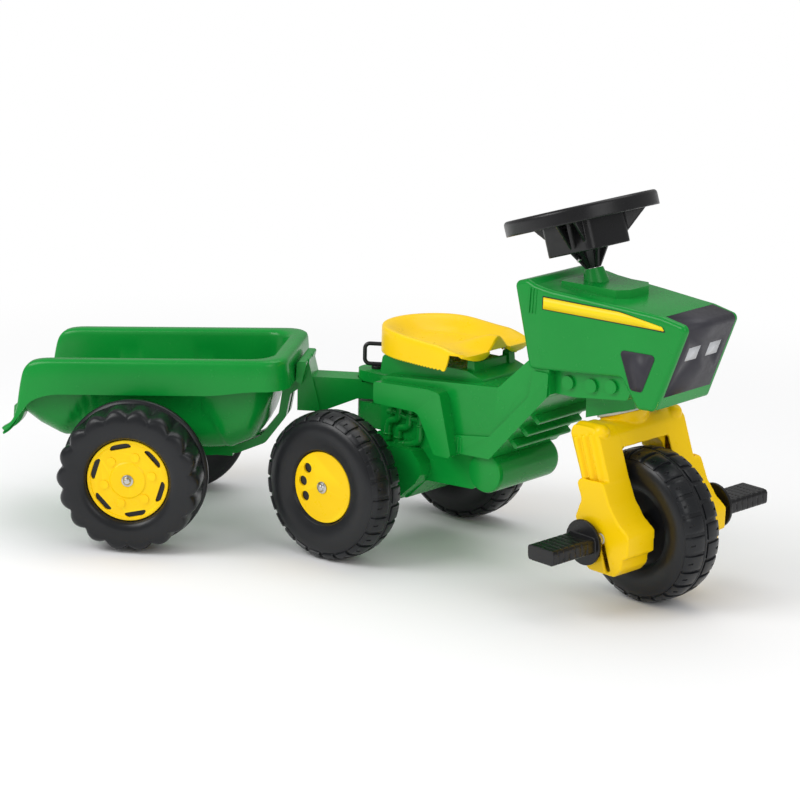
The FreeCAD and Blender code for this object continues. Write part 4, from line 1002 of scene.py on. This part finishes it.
class PEDALTRACTOR_OT_moulded_lines(bpy.types.Operator):
    """Models the fine ribs on the bonnet's cowl and the belt's rear end"""
    bl_idname = "pedaltractor.moulded_lines"
    bl_label = "Moulded lines"

    def execute(self, context):
        rib = bead("cowl_ribs", (0.0016, 0.0016, 0.033), 0.0006)
        ribs = copies(rib, both_flanks([(266 + 5 * i, 73.9 - 0.08 * i, 381, 3, 0) for i in range(3)]))
        smooth(ribs, 40)
        own_piece(ribs, "green_plastic", "tractor")
        rib = bead("belt_ribs", (0.0022, 0.0018, 0.021), 0.0008)
        ribs = copies(rib, both_flanks([(145 + 5 * i, 73.0, 170, 4, 0) for i in range(4)]))
        smooth(ribs, 40)
        own_piece(ribs, "green_plastic", "tractor")
        return {"FINISHED"}


class PEDALTRACTOR_OT_print_borders(bpy.types.Operator):
    """Makes the thin dark border that shows round the bare stripe"""
    bl_idname = "pedaltractor.print_borders"
    bl_label = "Print borders"

    def execute(self, context):
        border = framed_copy("bonnet_stripes", "stripe_borders", 0.0016, 0.00045)
        own_piece(border, "black_plastic", "tractor")
        return {"FINISHED"}


def framed_copy(source, name, grow, sink):
    """A copy of a thin print, a little larger and lower, that shows as a border round it."""
    make_active(NODES[source])
    bpy.ops.object.duplicate()
    piece = bpy.context.object
    piece.name = name
    piece.parent = None
    for key in list(piece.keys()):
        del piece[key]
    piece.modifiers.clear()
    piece.matrix_world = Matrix.Identity(4)
    tidy_mesh(piece)
    for sign in (-1, 1):
        spots = [v.co.copy() for v in piece.data.vertices if (v.co.y - REAR_AXLE.y) * sign > 0]
        low = Vector([min(p[i] for p in spots) for i in range(3)])
        high = Vector([max(p[i] for p in spots) for i in range(3)])
        middle = (low + high) / 2
        edit(piece, "VERT")
        bpy.ops.mesh.select_all(action="DESELECT")
        end_edit()
        for vertex in piece.data.vertices:
            vertex.select = (vertex.co.y - REAR_AXLE.y) * sign > 0
        bpy.ops.object.mode_set(mode="EDIT")
        size = high - low
        bpy.ops.transform.resize(value=(1 + 2 * grow / size.x, 1, 1 + 2 * grow / size.z), center_override=middle)
        bpy.ops.transform.translate(value=(0, -sign * sink, 0))
        end_edit()
    smooth(piece, 30)
    return piece


class PEDALTRACTOR_OT_stage(bpy.types.Operator):
    """Builds the pale floor, the soft studio light and the camera"""
    bl_idname = "pedaltractor.stage"
    bl_label = "Stage"

    def execute(self, context):
        clear_selection()
        bpy.ops.mesh.primitive_plane_add(size=context.scene.tractor_sizes.floor_size)
        floor = bpy.context.object
        floor.name = "studio_floor"
        material = bpy.data.materials.new("Studio floor")
        material.use_nodes = True
        tree = material.node_tree
        shader = tree.nodes["Principled BSDF"]
        shader.inputs["Base Color"].default_value = (0.93, 0.93, 0.935, 1)
        shader.inputs["Roughness"].default_value = 0.9
        shader.inputs["Specular IOR Level"].default_value = 0.1
        spot = node(tree, "ShaderNodeTexCoord", -900, 300)
        away = node(tree, "ShaderNodeVectorMath", -700, 300, operation="LENGTH")
        far = node(tree, "ShaderNodeMapRange", -500, 300, interpolation_type="SMOOTHSTEP")
        far.inputs["From Min"].default_value = 0.75
        far.inputs["From Max"].default_value = 1.7
        seen = node(tree, "ShaderNodeLightPath", -700, 60)
        either = node(tree, "ShaderNodeMath", -500, 60, operation="MAXIMUM")
        share = node(tree, "ShaderNodeMath", -300, 200, operation="MULTIPLY")
        white = node(tree, "ShaderNodeEmission", -300, 0, Color=(1, 1, 1, 1), Strength=1.0)
        blend = node(tree, "ShaderNodeMixShader", 100, 100)
        tree.links.new(spot.outputs["Object"], away.inputs[0])
        tree.links.new(away.outputs["Value"], far.inputs["Value"])
        tree.links.new(seen.outputs["Is Camera Ray"], either.inputs[0])
        either.inputs[1].default_value = 0.0
        tree.links.new(far.outputs["Result"], share.inputs[0])
        tree.links.new(either.outputs["Value"], share.inputs[1])
        tree.links.new(share.outputs["Value"], blend.inputs["Fac"])
        tree.links.new(shader.outputs["BSDF"], blend.inputs[1])
        tree.links.new(white.outputs["Emission"], blend.inputs[2])
        tree.links.new(blend.outputs["Shader"], tree.nodes["Material Output"].inputs["Surface"])
        floor.data.materials.append(material)

        world = bpy.data.worlds.new("Studio")
        context.scene.world = world
        world.use_nodes = True
        tree = world.node_tree
        back = tree.nodes["Background"]
        back.inputs["Color"].default_value = (1, 1, 1, 1)
        path = node(tree, "ShaderNodeLightPath", -700, 0)
        dim = node(tree, "ShaderNodeMapRange", -500, -100)
        dim.inputs["To Min"].default_value = 0.66
        dim.inputs["To Max"].default_value = 0.34
        lift = node(tree, "ShaderNodeMapRange", -300, 0)
        lift.inputs["To Max"].default_value = 1.0
        tree.links.new(path.outputs["Is Glossy Ray"], dim.inputs["Value"])
        tree.links.new(dim.outputs["Result"], lift.inputs["To Min"])
        tree.links.new(path.outputs["Is Camera Ray"], lift.inputs["Value"])
        tree.links.new(lift.outputs["Result"], back.inputs["Strength"])

        def softbox(name, place, target, size, power):
            clear_selection()
            bpy.ops.object.light_add(type="AREA", location=place)
            lamp = bpy.context.object
            lamp.name = name
            lamp.data.shape = "RECTANGLE"
            lamp.data.size, lamp.data.size_y = size
            lamp.data.energy = power
            aim = (Vector(target) - Vector(place)).to_track_quat("-Z", "Y")
            lamp.rotation_euler = aim.to_euler()

        softbox("key_softbox", (-0.9, -1.9, 1.9), (-0.1, 0.0, 0.2), (1.6, 1.2), 30.0)
        softbox("front_softbox", (2.4, -0.9, 1.6), (0.1, 0.0, 0.2), (1.4, 1.6), 12.0)
        softbox("top_softbox", (0.1, 0.9, 2.6), (0.0, 0.1, 0.2), (2.4, 1.4), 18.0)

        azimuth, elevation, roll = 0.687, 0.245, 0.022
        data = bpy.data.cameras.new("Photo camera")
        data.lens = 3257.6 * 36.0 / 800.0
        data.sensor_width = 36.0
        data.clip_end = 100
        camera = bpy.data.objects.new("photo_camera", data)
        context.scene.collection.objects.link(camera)
        back_way = Vector((math.sin(azimuth) * math.cos(elevation), -math.cos(azimuth) * math.cos(elevation),
                           math.sin(elevation)))
        right = Vector((math.cos(azimuth), math.sin(azimuth), 0))
        up = back_way.cross(right)
        turned_right = math.cos(roll) * right + math.sin(roll) * up
        turned_up = -math.sin(roll) * right + math.cos(roll) * up
        turn = Matrix((turned_right, turned_up, back_way)).transposed().to_4x4()
        camera.matrix_world = Matrix.Translation(tractor_point(2706.7, -3304.3, 1257.9)) @ turn
        context.scene.camera = camera
        settings = context.scene.view_settings
        settings.view_transform = "Standard"
        return {"FINISHED"}


class PEDALTRACTOR_PT_sidebar(bpy.types.Panel):
    """Lists the pieces, colours and sizes"""
    bl_idname = "PEDALTRACTOR_PT_sidebar"
    bl_label = "Pedal Tractor"
    bl_space_type = "VIEW_3D"
    bl_region_type = "UI"
    bl_category = "Pedal Tractor"

    def draw(self, context):
        layout = self.layout
        for group in (context.scene.tractor_colours, context.scene.tractor_sizes):
            box = layout.box()
            for key in group.__annotations__:
                box.prop(group, key)
        for step in STEPS:
            layout.operator(step)


STEPS = ["pedaltractor.finishes", "pedaltractor.cad_mouldings", "pedaltractor.tractor_wheels",
         "pedaltractor.seat", "pedaltractor.tub", "pedaltractor.trailer_wheels", "pedaltractor.fork",
         "pedaltractor.hand_and_foot_parts", "pedaltractor.belly_ends", "pedaltractor.engine_pipes", "pedaltractor.moulded_lines",
         "pedaltractor.print_borders", "pedaltractor.stage"]

CLASSES = [TractorColours, TractorSizes, PEDALTRACTOR_OT_finishes, PEDALTRACTOR_OT_cad_mouldings,
           PEDALTRACTOR_OT_tractor_wheels, PEDALTRACTOR_OT_seat, PEDALTRACTOR_OT_tub,
           PEDALTRACTOR_OT_trailer_wheels, PEDALTRACTOR_OT_fork, PEDALTRACTOR_OT_hand_and_foot_parts,
           PEDALTRACTOR_OT_belly_ends, PEDALTRACTOR_OT_engine_pipes,
           PEDALTRACTOR_OT_moulded_lines, PEDALTRACTOR_OT_print_borders, PEDALTRACTOR_OT_stage,
           PEDALTRACTOR_PT_sidebar]


def register():
    for item in CLASSES:
        bpy.utils.register_class(item)
    bpy.types.Scene.tractor_colours = bpy.props.PointerProperty(type=TractorColours)
    bpy.types.Scene.tractor_sizes = bpy.props.PointerProperty(type=TractorSizes)


def unregister():
    del bpy.types.Scene.tractor_sizes
    del bpy.types.Scene.tractor_colours
    for item in reversed(CLASSES):
        bpy.utils.unregister_class(item)


def main():
    register()
    bpy.ops.pedaltractor.finishes()
    bpy.ops.pedaltractor.cad_mouldings()
    bpy.ops.pedaltractor.tractor_wheels()
    bpy.ops.pedaltractor.seat()
    bpy.ops.pedaltractor.tub()
    bpy.ops.pedaltractor.trailer_wheels()
    bpy.ops.pedaltractor.fork()
    bpy.ops.pedaltractor.hand_and_foot_parts()
    bpy.ops.pedaltractor.belly_ends()
    bpy.ops.pedaltractor.engine_pipes()
    bpy.ops.pedaltractor.moulded_lines()
    bpy.ops.pedaltractor.print_borders()
    bpy.ops.pedaltractor.stage()
    clear_selection()


if __name__ == "__main__":
    main()
